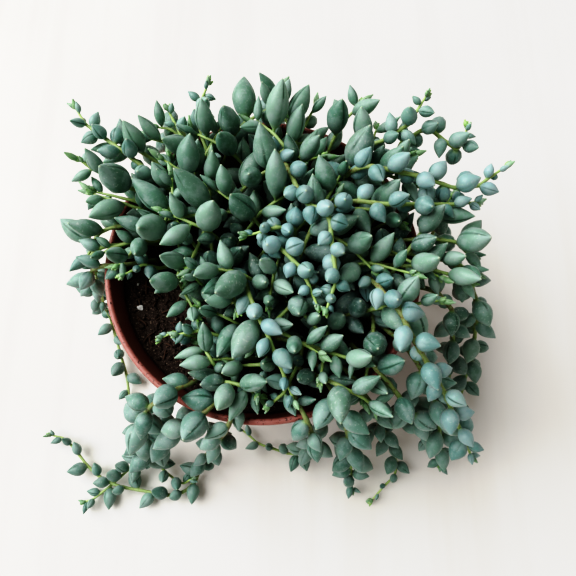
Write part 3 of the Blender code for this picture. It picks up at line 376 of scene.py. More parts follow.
class Tangle:
    """All the stems and leaves as round-ended rods on shared points, which push each other clear."""

    def __init__(self, strands):
        self.names = [name for name, _, _ in strands]
        self.kinds = [kind for _, kind, _ in strands]
        self.stems, leaves, points, sunk = [], [], [], []
        for strand, (name, kind, route) in enumerate(strands):
            nodes, grown = grow(kind, route, strand)
            first = len(points)
            points += list(nodes)
            sunk += [first, first + 1]
            self.stems.append(list(range(first, first + len(nodes))))
            leaves += [(strand, first + node, aim, size, radius) for node, aim, size, radius in grown]
        self.stem_points = len(points)
        self.leaf_strand, self.leaf_base, self.aim, self.size, leaf_radius = map(np.array, zip(*leaves))
        self.leaf_tip = np.arange(len(leaves)) + self.stem_points
        points = np.array(points)
        self.points = np.vstack([points, points[self.leaf_base] + self.aim * self.size[:, None]])
        self.rest = self.points.copy()
        self.mobility = np.where(np.arange(len(self.points)) < self.stem_points, STEM_MOBILITY, 1.0)
        self.mobility[sunk] = 0.0

        self.links = np.array([pair for stem in self.stems for pair in zip(stem, stem[1:])])
        self.link_strand = np.repeat(np.arange(len(self.stems)), [len(stem) - 1 for stem in self.stems])
        self.bends = np.array([
            (stem[i - 1], stem[i], stem[i + 1]) for stem in self.stems for i in range(2, len(stem) - 1)])
        self.link_length = np.linalg.norm(np.diff(self.points[self.links], axis=1)[:, 0], axis=1)
        inset = np.minimum(0.45, leaf_radius / self.size)
        self.ends = np.vstack([self.links, np.column_stack([self.leaf_base, self.leaf_tip])])
        self.share = np.vstack([
            np.tile([0.0, 1.0], (len(self.links), 1)), np.column_stack([inset, 1 - inset])])
        self.radius = np.concatenate([np.full(len(self.links), STEM_RADIUS), leaf_radius])
        self.full_radius = self.radius.copy()
        body = np.array([self.names.index(name) for name in self.names])
        self.body = body[np.concatenate([self.link_strand, self.leaf_strand])]
        self.is_leaf = np.arange(len(self.ends)) >= len(self.links)
        self.alive = np.ones(len(self.ends), bool)

    def rods(self):
        start, stop = self.points[self.ends[:, 0]], self.points[self.ends[:, 1]]
        return start + (stop - start) * self.share[:, :1], start + (stop - start) * self.share[:, 1:]

    def near_pairs(self, margin):
        """Pairs of rods that could touch, apart from rods that meet at a point of one stem."""
        start, stop = self.rods()
        middle = (start + stop) / 2
        reach = np.linalg.norm(stop - start, axis=1) / 2 + self.radius + margin
        i, j = np.triu_indices(len(middle), 1)
        close = np.linalg.norm(middle[i] - middle[j], axis=1) < reach[i] + reach[j]
        i, j = i[close], j[close]
        a, b = self.ends[i], self.ends[j]
        joined = (a[:, 0] == b[:, 0]) | (a[:, 0] == b[:, 1]) | (a[:, 1] == b[:, 0])
        same_stem = (self.body[i] == self.body[j]) & ~self.is_leaf[i] & ~self.is_leaf[j] & (j - i < 4)
        keep = ~(joined | same_stem) & self.alive[i] & self.alive[j]
        return i[keep], j[keep]

    def contacts(self, i, j):
        """Where two rods come closest: the share along each, the direction apart and the distance."""
        start, stop = self.rods()
        along_i, along_j = stop[i] - start[i], stop[j] - start[j]
        offset = start[i] - start[j]
        a, e = (along_i * along_i).sum(1) + 1e-14, (along_j * along_j).sum(1) + 1e-14
        b, c, f = (along_i * along_j).sum(1), (along_i * offset).sum(1), (along_j * offset).sum(1)
        s = np.clip((b * f - c * e) / np.maximum(a * e - b * b, 1e-20), 0, 1)
        t = np.clip((b * s + f) / e, 0, 1)
        s = np.clip((b * t - c) / a, 0, 1)
        apart = offset + along_i * s[:, None] - along_j * t[:, None]
        distance = np.linalg.norm(apart, axis=1)
        return s, t, apart / np.maximum(distance, 1e-9)[:, None], distance

    def push_apart(self, i, j):
        s, t, normal, distance = self.contacts(i, j)
        room = np.where(self.is_leaf[i] | self.is_leaf[j], CLEARANCE, STEM_CLEARANCE)
        depth = self.radius[i] + self.radius[j] + room - distance
        hit = depth > 0
        i, j, s, t, normal, depth = i[hit], j[hit], s[hit], t[hit], normal[hit], depth[hit]
        at_i = self.share[i, 0] + s * (self.share[i, 1] - self.share[i, 0])
        at_j = self.share[j, 0] + t * (self.share[j, 1] - self.share[j, 0])
        pulls = (
            (self.ends[i, 0], 1 - at_i, 1), (self.ends[i, 1], at_i, 1),
            (self.ends[j, 0], 1 - at_j, -1), (self.ends[j, 1], at_j, -1))
        total = sum(share * share * self.mobility[point] for point, share, _ in pulls)
        push = PUSH * depth / np.maximum(total, 1e-6)
        move = np.zeros_like(self.points)
        for point, share, sign in pulls:
            np.add.at(move, point, (sign * share * self.mobility[point] * push)[:, None] * normal)
        size = np.linalg.norm(move, axis=1)
        self.points += move * np.minimum(1, FURTHEST_MOVE / np.maximum(size, 1e-12))[:, None]

    def outside(self, along):
        """At a share of the way along each rod: its place, and how to move it out of pot, soil and floor."""
        start, stop = self.rods()
        place = start + (stop - start) * along
        r = np.hypot(place[:, 0], place[:, 1]) + 1e-9
        push = np.zeros_like(place)
        for top, foot, half in POT_LINES:
            top, line = np.array(top), np.subtract(foot, top)
            from_top = np.column_stack([r, place[:, 2]]) - top
            away = from_top - np.clip(from_top @ line / (line @ line), 0, 1)[:, None] * line
            distance = np.linalg.norm(away, axis=1) + 1e-9
            depth = np.maximum(half + self.radius + CLEARANCE + GAP - distance, 0)
            away *= (depth / distance)[:, None]
            push[:, :2] += place[:, :2] * (away[:, 0] / r)[:, None]
            push[:, 2] += away[:, 1]
        lowest = np.where(r < RIM_RADIUS - 0.004, SOIL_TOP + 2 * GAP + CLEARANCE, GAP) + self.radius
        above_soil = self.mobility[self.ends[:, 0]] + self.mobility[self.ends[:, 1]] > 0
        push[:, 2] += np.maximum(lowest - place[:, 2], 0) * above_soil
        return push

    def deepest_outside(self):
        """How far each rod would have to move to stand clear of pot, soil and floor."""
        return np.max([
            np.linalg.norm(self.outside(along), axis=1) for along in (0.0, 0.25, 0.5, 0.75, 1.0)], axis=0)

    def keep_out(self):
        """Lifts what lies in the surface below or in the soil, and moves it out of the pot's wall."""
        for along in (0.0, 0.5, 1.0):
            push = KEEP_OUT_PUSH * self.outside(along)
            share = self.share[:, 0] + along * (self.share[:, 1] - self.share[:, 0])
            for end, part in ((0, 1 - share), (1, share)):
                point = self.ends[:, end]
                np.add.at(self.points, point, push * (part * (self.mobility[point] > 0))[:, None])

    def hold_shape(self):
        """Keeps the stems' lengths and bends, and turns each leaf back towards its own direction."""
        a, b = self.links.T
        mobility = self.mobility
        for _ in range(3):
            ahead = self.points[b] - self.points[a]
            length = np.linalg.norm(ahead, axis=1) + 1e-9
            total = np.maximum(mobility[a] + mobility[b], 1e-6)
            fix = ((length - self.link_length) / length / total * 0.5)[:, None] * ahead
            move = np.zeros_like(self.points)
            np.add.at(move, a, fix * mobility[a][:, None])
            np.add.at(move, b, -fix * mobility[b][:, None])
            self.points += move
        before, here, after = self.bends.T
        bend = (self.points[before] + self.points[after]) / 2 - self.points[here]
        rest_bend = (self.rest[before] + self.rest[after]) / 2 - self.rest[here]
        mobile = (mobility > 0)[:, None]
        self.points[here] += BEND_PULL * (bend - rest_bend) * mobile[here]
        stems = slice(0, self.stem_points)
        self.points[stems] += STEM_PULL * (self.rest[stems] - self.points[stems]) * mobile[stems]
        base, tip = self.leaf_base, self.leaf_tip
        rest = self.points[base] + self.aim * self.size[:, None]
        self.points[tip] += LEAF_PULL * (rest - self.points[tip])
        ahead = self.points[tip] - self.points[base]
        ahead *= (self.size / np.linalg.norm(ahead, axis=1))[:, None]
        self.points[tip] = self.points[base] + ahead

    def settle(self, rounds):
        for step in range(rounds):
            if step % 8 == 0:
                i, j = self.near_pairs(MOVING_REACH)
            self.push_apart(i, j)
            self.keep_out()
            self.hold_shape()
            # rounding keeps the result the same on every machine
            self.points = np.round(self.points, 7)

    def thin(self, deepest):
        """Shrinks the lower of two leaves that press further into each other, and a leaf that a stem
        pierces, and drops a leaf that has become too small."""
        i, j = self.near_pairs(RESTING_REACH)
        depth = self.radius[i] + self.radius[j] - self.contacts(i, j)[3]
        height = sum(self.rods())[:, 2]
        shrunk = set()
        for pair in np.argsort(-depth, kind="stable"):
            a, b = i[pair], j[pair]
            if depth[pair] < deepest:
                break
            if self.is_leaf[b] and a not in shrunk and b not in shrunk:
                shrunk.add(a if self.is_leaf[a] and height[a] < height[b] else b)
        rods = np.array(sorted(shrunk), int)
        self.radius[rods] *= SHRINK
        self.size[rods - len(self.links)] *= SHRINK
        self.alive[rods] &= self.radius[rods] > SMALLEST * self.full_radius[rods]

    def straighten(self):
        """Keeps only the corners that each stem needs, and moves its other nodes onto the lines between.
        Stems that this brings too close together keep more of their corners."""
        relaxed = self.points.copy()
        tolerance = np.full(len(self.stems), STEM_TOLERANCE)
        for _ in range(5):
            self.points = relaxed.copy()
            for stem, allowed in zip(self.stems, tolerance):
                self.straighten_stem(stem, allowed)
            i, j = self.near_pairs(RESTING_REACH)
            both = ~self.is_leaf[i] & ~self.is_leaf[j] & (self.body[i] != self.body[j])
            i, j = i[both], j[both]
            close = self.contacts(i, j)[3] < 2 * STEM_RADIUS + GAP
            at_pot = ~self.is_leaf & (self.deepest_outside() > CLEARANCE)
            crowded = np.concatenate([i[close], j[close], np.flatnonzero(at_pot)])
            tolerance[np.unique(self.link_strand[crowded])] *= 0.5
        self.mobility[:self.stem_points] = 0.0

    def straighten_stem(self, stem, tolerance):
        line = self.points[stem]
        kept = [0] + [1 + index for index in corners(line[1:], tolerance)]
        for first, last in zip(kept, kept[1:]):
            ahead = line[last] - line[first]
            for index in range(first + 1, last):
                share = (line[index] - line[first]) @ ahead / (ahead @ ahead)
                self.points[stem[index]] = line[first] + share * ahead

    def slim(self, gap):
        """Narrows the leaves that still touch another plant's, and drops those that would get too thin."""
        for _ in range(12):
            i, j = self.near_pairs(RESTING_REACH)
            depth = self.radius[i] + self.radius[j] + gap - self.contacts(i, j)[3]
            touching = (depth > 0) & (self.body[i] != self.body[j])
            for a, b, excess in zip(i[touching], j[touching], depth[touching]):
                both = self.is_leaf[a] and self.is_leaf[b]
                for rod in (a, b):
                    if self.is_leaf[rod]:
                        self.radius[rod] -= excess * (0.55 if both else 1.05)
            self.alive &= self.radius > SMALLEST * self.full_radius
        self.alive &= ~self.is_leaf | (self.deepest_outside() < CLEARANCE)

    def arrange(self):
        for rounds, deepest in THINNING:
            self.settle(rounds)
            self.thin(deepest)
        self.settle(60)
        self.straighten()
        self.settle(40)
        self.thin(THINNING[-1][1])
        self.slim(GAP)


# The plant's fine surface
LEAF_OUTLINE = (
    (0.04, 0.11), (0.08, 0.17), (0.125, 0.33), (0.19, 0.55), (0.27, 0.77), (0.36, 0.92), (0.47, 1.0),
    (0.58, 0.97), (0.69, 0.84), (0.79, 0.64), (0.88, 0.40), (0.94, 0.21), (0.975, 0.085))
LEAF_ANGLES = (0.0, 0.10, 0.24, 0.5, 0.85, 1.3, 1.8, 2.4)
LEAF_FLATNESS = 0.95
PETIOLE_RADIUS = 0.00042
# How much fuller the fine leaves are than the rods that stood for them
FULLNESS = 1.07
WINDOW_DEPTH = 0.05
WINDOW_WIDTH = 0.13
TUBE_SIDES = 8
BUD_LEAVES = 4
BUD_RADIUS = 0.27
BUD_STEP = 0.0003
# Crown leaves above the soil are dusty below this height, and more so over this distance down
DUSTY_BELOW = 0.113
DUST_FADE = 0.012
LOOKS_SEED = 77
# Shares of the full radius by the number of leaves from a stem's tip, and at each leaf
STEM_RADII = ((0, 0.40), (1, 0.55), (4, 0.85), (9, 1.0), (16, 1.1))
KNOT = 1.16
# A stem's age by the number of leaves from its tip, as a share of those that it is green for
STEM_AGES = ((0, 0.0), (0.25, 0.35), (1, 0.75), (2, 1.0))
GREENING = {"crown": 8}
SLOW_GREENING = 16
STEPS_PER_LEAF = 3


def add_attribute(mesh, name, values):
    attribute = mesh.attributes.new(name, "FLOAT", "POINT")
    attribute.data.foreach_set("value", np.asarray(values, np.float32))


def new_mesh(name, points, faces, smooth=True):
    mesh = bpy.data.meshes.new(name)
    mesh.from_pydata(points, [], faces)
    if smooth:
        mesh.shade_smooth()
    return mesh


def leaf_mesh(name, leaves):
    """All the leaves of one piece. Each is a closed pointed bead with a groove along its upper side."""
    base, tip = (np.array([leaf[key] for leaf in leaves]) for key in ("base", "tip"))
    radius, roll, bend, skew = (
        np.array([[leaf[key]] for leaf in leaves]) for key in ("radius", "roll", "bend", "skew"))
    length = np.linalg.norm(tip - base, axis=1)[:, None]
    ahead = (tip - base) / length
    upward = np.tile([0.0, 0.0, 1.0], (len(leaves), 1))
    upward[np.abs(ahead[:, 2]) > 0.97] = (0.0, -1.0, 0.0)
    face = upward - (upward * ahead).sum(1)[:, None] * ahead
    face /= np.linalg.norm(face, axis=1)[:, None]
    side = np.cross(face, ahead)
    face, side = face * np.cos(roll) + side * np.sin(roll), side * np.cos(roll) - face * np.sin(roll)

    angles = np.array(LEAF_ANGLES + (math.pi,) + tuple(-angle for angle in LEAF_ANGLES[:0:-1]))
    along, width = np.array(LEAF_OUTLINE).T
    groove = WINDOW_DEPTH * np.exp(-(angles / WINDOW_WIDTH)**2)
    strength = np.clip((along - 0.15) / 0.15, 0, 1) * np.clip((0.96 - along) / 0.1, 0, 1)
    spread = np.maximum(radius * width, PETIOLE_RADIUS)[:, :, None] * (1 - strength[:, None] * groove)
    place = along**skew
    sag = -4 * bend * length * place * (1 - place)
    ring = (
        base[:, None, None] + (place * length)[:, :, None, None] * ahead[:, None, None]
        + (spread * np.cos(angles) * LEAF_FLATNESS + sag[:, :, None])[..., None] * face[:, None, None]
        + (spread * np.sin(angles))[..., None] * side[:, None, None])
    count, rings, sides = len(leaves), len(along), len(angles)
    points = np.concatenate([base[:, None], ring.reshape(count, -1, 3), tip[:, None]], axis=1)

    index = 1 + np.arange(rings * sides).reshape(rings, sides)
    turned = np.roll(index, -1, axis=1)
    last = rings * sides + 1
    quads = np.stack([index[:-1], turned[:-1], turned[1:], index[1:]], axis=-1).reshape(-1, 4)
    foot = np.stack([np.zeros(sides, int), turned[0], index[0]], axis=-1)
    head = np.stack([np.full(sides, last), index[-1], turned[-1]], axis=-1)
    first = np.arange(count)[:, None, None] * (last + 1)
    faces = []
    for block in (quads, foot, head):
        faces += (block + first).reshape(-1, block.shape[1]).tolist()
    mesh = new_mesh(name, points.reshape(-1, 3).tolist(), faces)
    add_attribute(mesh, "along", np.tile(np.concatenate([[0.0], np.repeat(along, sides), [1.0]]), count))
    across = np.tile(np.abs(angles) / math.pi, rings)
    add_attribute(mesh, "across", np.tile(np.concatenate([[0.0], across, [0.0]]), count))
    for key in ("tone", "age", "blue", "dust"):
        add_attribute(mesh, key, np.repeat([leaf[key] for leaf in leaves], last + 1))
    return mesh


def tube_mesh(name, lines):
    """Round tubes along lines of (points, radii, ages), each closed at both ends."""
    verts, faces, ages = [], [], []
    for points, radii, line_ages in lines:
        ahead = np.gradient(points, axis=0)
        ahead /= np.linalg.norm(ahead, axis=1)[:, None]
        side = leaning(ahead[0], 0.0, math.pi / 2)
        rings = []
        for point, direction, radius, age in zip(points, ahead, radii, line_ages):
            side = side - (side @ direction) * direction
            side /= np.linalg.norm(side)
            other = np.cross(direction, side)
            rings.append(list(range(len(verts), len(verts) + TUBE_SIDES)))
            verts += [tuple(point + x * side + y * other) for x, y in circle(radius, TUBE_SIDES)]
            ages += [age] * TUBE_SIDES
        faces += ring_faces(rings)
        faces += [rings[0][::-1], rings[-1]]
    mesh = new_mesh(name, verts, faces)
    add_attribute(mesh, "age", ages)
    return mesh


def circle(radius, sides):
    turns = [2 * math.pi * step / sides for step in range(sides)]
    return [(radius * math.cos(turn), radius * math.sin(turn)) for turn in turns]


def ring_faces(rings):
    """The four-sided faces that join each ring of points to the next."""
    return [
        (low[step - 1], low[step], high[step], high[step - 1])
        for low, high in zip(rings, rings[1:]) for step in range(len(low))]


# How old and how blue the leaves of each kind of stem are
KIND_LOOKS = {
    "crown": (0.95, 0.2), "bead": (0.42, 1.0), "blue": (0.45, 1.0), "young": (0.5, 0.55),
    "cluster": (0.55, 0.6), "trail": (0.6, 0.5), "floor": (0.62, 0.5), "hang": (0.72, 0.45)}


def leaf_looks(kind, from_tip, middle, draw):
    """What a leaf's material reads: how old, blue and dusty it is, and its own tone."""
    oldest, blue = KIND_LOOKS[kind]
    age = min(oldest + draw.uniform(-0.1, 0.1), 0.16 + 0.1 * from_tip)
    inside = math.hypot(middle[0], middle[1]) < RIM_RADIUS
    dusty = inside and kind == "crown"
    dust = max(0.0, min(1.0, (DUSTY_BELOW - middle[2]) / DUST_FADE)) if dusty else 0.0
    return {
        "age": age, "blue": blue * draw.uniform(0.7, 1.0), "tone": draw.random(),
        "dust": dust * draw.uniform(0.3, 1.0), "roll": draw.gauss(0.0, 1.3),
        "bend": draw.uniform(0.0, 0.05), "skew": draw.uniform(0.95, 1.35)}


def dress_leaves(tangle):
    """For each piece of the plant: its leaves with their looks, and the tubes of its stems."""
    draw = random.Random(LOOKS_SEED)
    leaves = {name: [] for name in tangle.names}
    stems = {name: [] for name in tangle.names}
    for leaf, strand in enumerate(tangle.leaf_strand):
        rod = len(tangle.links) + leaf
        base, tip = tangle.points[tangle.leaf_base[leaf]], tangle.points[tangle.leaf_tip[leaf]]
        from_tip = tangle.stems[strand][-1] - tangle.leaf_base[leaf]
        looks = leaf_looks(tangle.kinds[strand], from_tip, (base + tip) / 2, draw)
        if tangle.alive[rod]:
            radius = FULLNESS * tangle.radius[rod]
            leaves[tangle.names[strand]].append({"base": base, "tip": tip, "radius": radius, **looks})
    for name, kind, stem in zip(tangle.names, tangle.kinds, tangle.stems):
        line = smooth_line(tangle.points[stem], STEPS_PER_LEAF)
        step = np.arange(len(line))
        from_end = (len(line) - 1 - step) / STEPS_PER_LEAF
        radii = np.interp(from_end, *zip(*STEM_RADII)) * STEM_RADIUS
        radii *= np.where(step % STEPS_PER_LEAF == 0, KNOT, 1.0)
        ages = np.interp(from_end / GREENING.get(kind, SLOW_GREENING), *zip(*STEM_AGES))
        stems[name].append((line, radii, ages))
        leaves[name] += tip_buds(line, kind, draw)
    return leaves, stems


def tip_buds(line, kind, draw):
    """The tiny bright leaves that close a growing tip."""
    ahead = line[-1] - line[-3]
    ahead /= np.linalg.norm(ahead)
    buds = []
    for bud in range(BUD_LEAVES):
        aim = leaning(ahead, bud * GOLDEN_ANGLE + draw.uniform(0, 1), 0.15 + 0.22 * bud)
        size = draw.uniform(0.0022, 0.0036) * (1 + 0.12 * bud)
        base = line[-1] - ahead * BUD_STEP * bud
        looks = leaf_looks(kind, 0, line[-1], draw)
        looks.update(age=0.02 + 0.04 * bud, dust=0.0)
        buds.append({"base": base, "tip": base + aim * size, "radius": size * BUD_RADIUS, **looks})
    return buds


def new_object(name, data, material=None):
    obj = bpy.data.objects.new(name, data)
    bpy.context.scene.collection.objects.link(obj)
    if material:
        data.materials.append(material)
    return obj


def keep(obj, node, slot):
    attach(obj, "root")
    if node:
        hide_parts(node)


class Material:
    """A Principled material and short calls for the nodes that colour it."""

    def __init__(self, name, **values):
        self.material = bpy.data.materials.new(name)
        self.material.use_nodes = True
        self.nodes = self.material.node_tree.nodes
        self.links = self.material.node_tree.links
        self.shader = self.nodes["Principled BSDF"]
        for socket, value in values.items():
            self.feed(self.shader, socket.replace("_", " "), value)

    def feed(self, node, socket, value):
        if isinstance(value, bpy.types.NodeSocket):
            self.links.new(value, node.inputs[socket])
        else:
            node.inputs[socket].default_value = value

    def node(self, kind, *values, **named):
        """A new node, fed in order of its sockets, and by name."""
        node = self.nodes.new("ShaderNode" + kind)
        for socket, value in (*enumerate(values), *named.items()):
            self.feed(node, socket, value)
        return node

    def attribute(self, name):
        node = self.node("Attribute")
        node.attribute_name = name
        return node.outputs["Fac"]

    def height(self):
        return self.node("SeparateXYZ", self.node("NewGeometry").outputs["Position"]).outputs["Z"]

    def noise(self, scale, detail=2.0, roughness=0.5, stretch=(1.0, 1.0, 1.0)):
        placed = self.node("VectorMath", self.node("NewGeometry").outputs["Position"], stretch)
        placed.operation = "MULTIPLY"
        node = self.node(
            "TexNoise", Vector=placed.outputs[0], Scale=scale, Detail=detail, Roughness=roughness)
        return node.outputs["Fac"]

    def span(self, value, low, high, to_low=0.0, to_high=1.0):
        """The value's place between low and high, eased and clamped."""
        node = self.node("MapRange", value, low, high, to_low, to_high)
        node.interpolation_type = "SMOOTHSTEP"
        return node.outputs[0]

    def maths(self, operation, a, b):
        node = self.node("Math", a, b)
        node.operation = operation
        return node.outputs[0]

    def times(self, a, b):
        return self.maths("MULTIPLY", a, b)

    def mix(self, share, a, b):
        node = self.node("Mix")
        node.data_type = "RGBA"
        self.feed(node, 0, share)
        for socket, colour in ((6, a), (7, b)):
            self.feed(node, socket, (*colour, 1.0) if isinstance(colour, tuple) else colour)
        return node.outputs[2]

    def colour(self, value):
        self.feed(self.shader, "Base Color", value)

    def bump(self, height, strength, distance):
        node = self.node("Bump", Height=height, Strength=strength, Distance=distance)
        self.feed(self.shader, "Normal", node.outputs[0])


def leaf_material():
    m = Material(
        "waxy_leaf", Specular_IOR_Level=0.42, Subsurface_Weight=0.12, Subsurface_Scale=0.003,
        Subsurface_Radius=(0.5, 1.0, 0.4), Sheen_Weight=0.10, Sheen_Roughness=0.45)
    along, across, tone, age, blue, dust = (
        m.attribute(name) for name in ("along", "across", "tone", "age", "blue", "dust"))
    green = m.mix(tone, (0.085, 0.138, 0.098), (0.233, 0.320, 0.246))
    grey = m.mix(tone, (0.066, 0.122, 0.106), (0.180, 0.282, 0.252))
    old = m.mix(m.span(m.noise(34), 0.42, 0.62), grey, green)
    fresh = m.mix(tone, (0.110, 0.212, 0.143), (0.250, 0.375, 0.276))
    waxy = m.mix(tone, (0.150, 0.275, 0.270), (0.305, 0.450, 0.462))
    grown = m.mix(m.span(age, 0.5, 0.95), fresh, old)
    colour = m.mix(m.times(blue, m.span(age, 1.0, 0.5)), grown, waxy)
    colour = m.mix(m.span(age, 0.26, 0.0), colour, (0.36, 0.58, 0.17))
    bloom = m.times(m.span(m.noise(190, 4.0, 0.6), 0.42, 0.62), 0.42)
    colour = m.mix(bloom, colour, (0.38, 0.46, 0.44))
    colour = m.mix(m.times(m.span(along, 0.2, 0.04), 0.8), colour, (0.30, 0.42, 0.14))
    inside_ends = m.times(m.span(along, 0.16, 0.32), m.span(along, 0.97, 0.88))
    clear = m.times(inside_ends, m.span(m.noise(60), 0.40, 0.56))
    window = m.times(m.span(across, 0.055, 0.010), clear)
    colour = m.mix(m.times(window, 0.75), colour, (0.018, 0.06, 0.032))
    nib = m.span(along, 0.955, 0.99)
    colour = m.mix(m.times(nib, 0.75), colour, (0.46, 0.52, 0.38))
    spots = m.times(m.span(m.noise(1100, 1.0), 0.63, 0.71), m.span(age, 0.4, 0.9, 0.2, 0.6))
    colour = m.mix(spots, colour, (0.50, 0.54, 0.47))
    specks = m.span(m.noise(1500, 2.0, 0.6), 0.56, 0.66)
    film = m.span(m.noise(300, 3.0, 0.6), 0.4, 0.75)
    grains = m.maths("MAXIMUM", m.times(specks, 0.9), m.times(film, 0.5))
    # Painted shade: leaves lower down, below the rim and towards the floor, are darkened
    low = m.span(m.height(), 0.100, 0.035)
    colour = m.mix(m.times(low, 0.22), colour, (0.040, 0.085, 0.062))
    dusty = m.times(dust, grains)
    m.colour(m.mix(dusty, colour, (0.33, 0.32, 0.25)))
    m.feed(m.shader, "Roughness", m.span(m.maths("ADD", bloom, dusty), 0.0, 0.5, 0.40, 0.62))
    m.bump(m.noise(900), 0.12, 0.0003)
    return m.material


def stem_material():
    m = Material(
        "stem", Roughness=0.5, Specular_IOR_Level=0.35, Subsurface_Weight=0.08, Subsurface_Scale=0.002)
    age = m.attribute("age")
    colour = m.mix(m.span(age, 0.0, 0.35), (0.44, 0.60, 0.22), (0.34, 0.45, 0.19))
    colour = m.mix(m.span(age, 0.4, 1.0), colour, (0.21, 0.235, 0.115))
    bark = m.times(m.span(m.noise(700, 3.0), 0.5, 0.68), m.span(age, 0.3, 0.9))
    m.colour(m.mix(bark, colour, (0.17, 0.10, 0.055)))
    m.bump(m.noise(1600), 0.2, 0.0003)
    return m.material


def pot_material():
    m = Material("brick_plastic", Specular_IOR_Level=0.45)
    colour = m.mix(m.noise(35, 3.0), (0.31, 0.118, 0.094), (0.39, 0.155, 0.126))
    near_lip = m.span(m.height(), POT_HEIGHT - 0.0035, POT_HEIGHT - 0.0004)
    rubbed = m.times(near_lip, m.span(m.noise(260, 4.0, 0.65), 0.3, 0.62))
    colour = m.mix(m.times(rubbed, 0.5), colour, (0.47, 0.215, 0.195))
    grime = m.times(near_lip, m.span(m.noise(900, 3.0, 0.6), 0.58, 0.64))
    colour = m.mix(m.times(grime, 0.85), colour, (0.03, 0.018, 0.014))
    dust = m.times(m.span(m.noise(500, 5.0, 0.7), 0.52, 0.75), 0.3)
    m.colour(m.mix(dust, colour, (0.36, 0.22, 0.17)))
    m.feed(m.shader, "Roughness", m.span(dust, 0.0, 0.3, 0.42, 0.7))
    m.bump(m.noise(1200), 0.1, 0.0002)
    return m.material


def soil_material():
    m = Material("potting_soil", Roughness=0.95, Specular_IOR_Level=0.15)
    colour = m.mix(m.noise(450, 5.0, 0.7), (0.020, 0.015, 0.013), (0.110, 0.080, 0.064))
    m.colour(m.mix(m.span(m.noise(1400), 0.60, 0.68), colour, (0.24, 0.19, 0.15)))
    m.bump(m.noise(1100, 5.0, 0.7), 0.9, 0.0012)
    return m.material


def plain_material(name, low, high, scale):
    m = Material(name, Roughness=0.9, Specular_IOR_Level=0.25)
    m.colour(m.mix(m.noise(scale, 3.0), low, high))
    m.bump(m.noise(scale * 2, 3.0), 0.3, 0.0004)
    return m.material


def floor_material():
    m = Material("pale_board", Roughness=0.6, Specular_IOR_Level=0.3)
    colour = m.mix(m.noise(9, 4.0), (0.765, 0.73, 0.68), (0.845, 0.825, 0.79))
    streaks = m.span(m.noise(28, 4.0, 0.6, (1.0, 0.06, 1.0)), 0.46, 0.66)
    m.colour(m.mix(m.times(streaks, 0.3), colour, (0.70, 0.65, 0.585)))
    m.bump(m.noise(60, 3.0, 0.6, (1.0, 0.08, 1.0)), 0.08, 0.0004)
    return m.material


# Pot and soil
POT_SIDES = 128
SHARP_ANGLE = math.radians(40)
LIP_STEPS = 8
INNER_CORNER = 0.002
DRAIN_SIDES = 24
SOIL_SIDES = 160
SOIL_RINGS = 56
# How far the fine soil stays inside the solid's edge
SOIL_INSET = 0.0004
SOIL_FOOT_INSET = 0.0015
SOIL_LUMPS = 0.0011
SOIL_GRAINS = 0.0007
SOIL_SINK = 0.0006
STONE_SEED = 5
CRUMB_SEED = 21
CRUMBS = 1500
FIBRES = 200
FIBRE_POINTS = 6
# Place and radius of each white stone
PERLITE = (
    (-0.0560, -0.0188, 0.0018), (-0.036, -0.036, 0.0008), (-0.058, -0.008, 0.0007),
    (-0.030, -0.050, 0.0008), (-0.046, -0.030, 0.0006), (-0.012, -0.060, 0.0009))


def made(bm, name):
    """The finished mesh of what was built."""
    mesh = bpy.data.meshes.new(name)
    bm.to_mesh(mesh)
    bm.free()
    return mesh


def turned_mesh(name, profile):
    """A closed profile that starts and ends on the axis, turned about Z."""
    bm = bmesh.new()
    verts = [bm.verts.new((radius, 0.0, height)) for radius, height in profile]
    edges = [bm.edges.new(pair) for pair in zip(verts, verts[1:])]
    bmesh.ops.spin(
        bm, geom=verts + edges, cent=(0, 0, 0), axis=(0, 0, 1), angle=2 * math.pi, steps=POT_SIDES,
        use_merge=True)
    bmesh.ops.remove_doubles(bm, verts=bm.verts, dist=0.00001)
    bmesh.ops.recalc_face_normals(bm, faces=bm.faces)
    mesh = made(bm, name)
    mesh.shade_smooth()
    return mesh


def drain_holes():
    """One object in the shape of all the holes in the pot's base."""
    bm = bmesh.new()
    for x, y in circle(DRAIN_CIRCLE, DRAIN_HOLES):
        bmesh.ops.create_cone(
            bm, cap_ends=True, segments=DRAIN_SIDES, radius1=DRAIN_RADIUS, radius2=DRAIN_RADIUS,
            depth=2 * BASE_THICKNESS, matrix=Matrix.Translation((x, y, BASE_THICKNESS / 2)))
    return new_object("drain_holes", made(bm, "drain_holes"))


def cut_out(obj, cutter):
    """Cuts the cutter's shape out of the object and removes the cutter."""
    obj.modifiers.new("cut", "BOOLEAN").object = cutter
    mesh = bpy.data.meshes.new_from_object(obj.evaluated_get(bpy.context.evaluated_depsgraph_get()))
    obj.modifiers.clear()
    obj.data = mesh
    bpy.data.objects.remove(cutter)


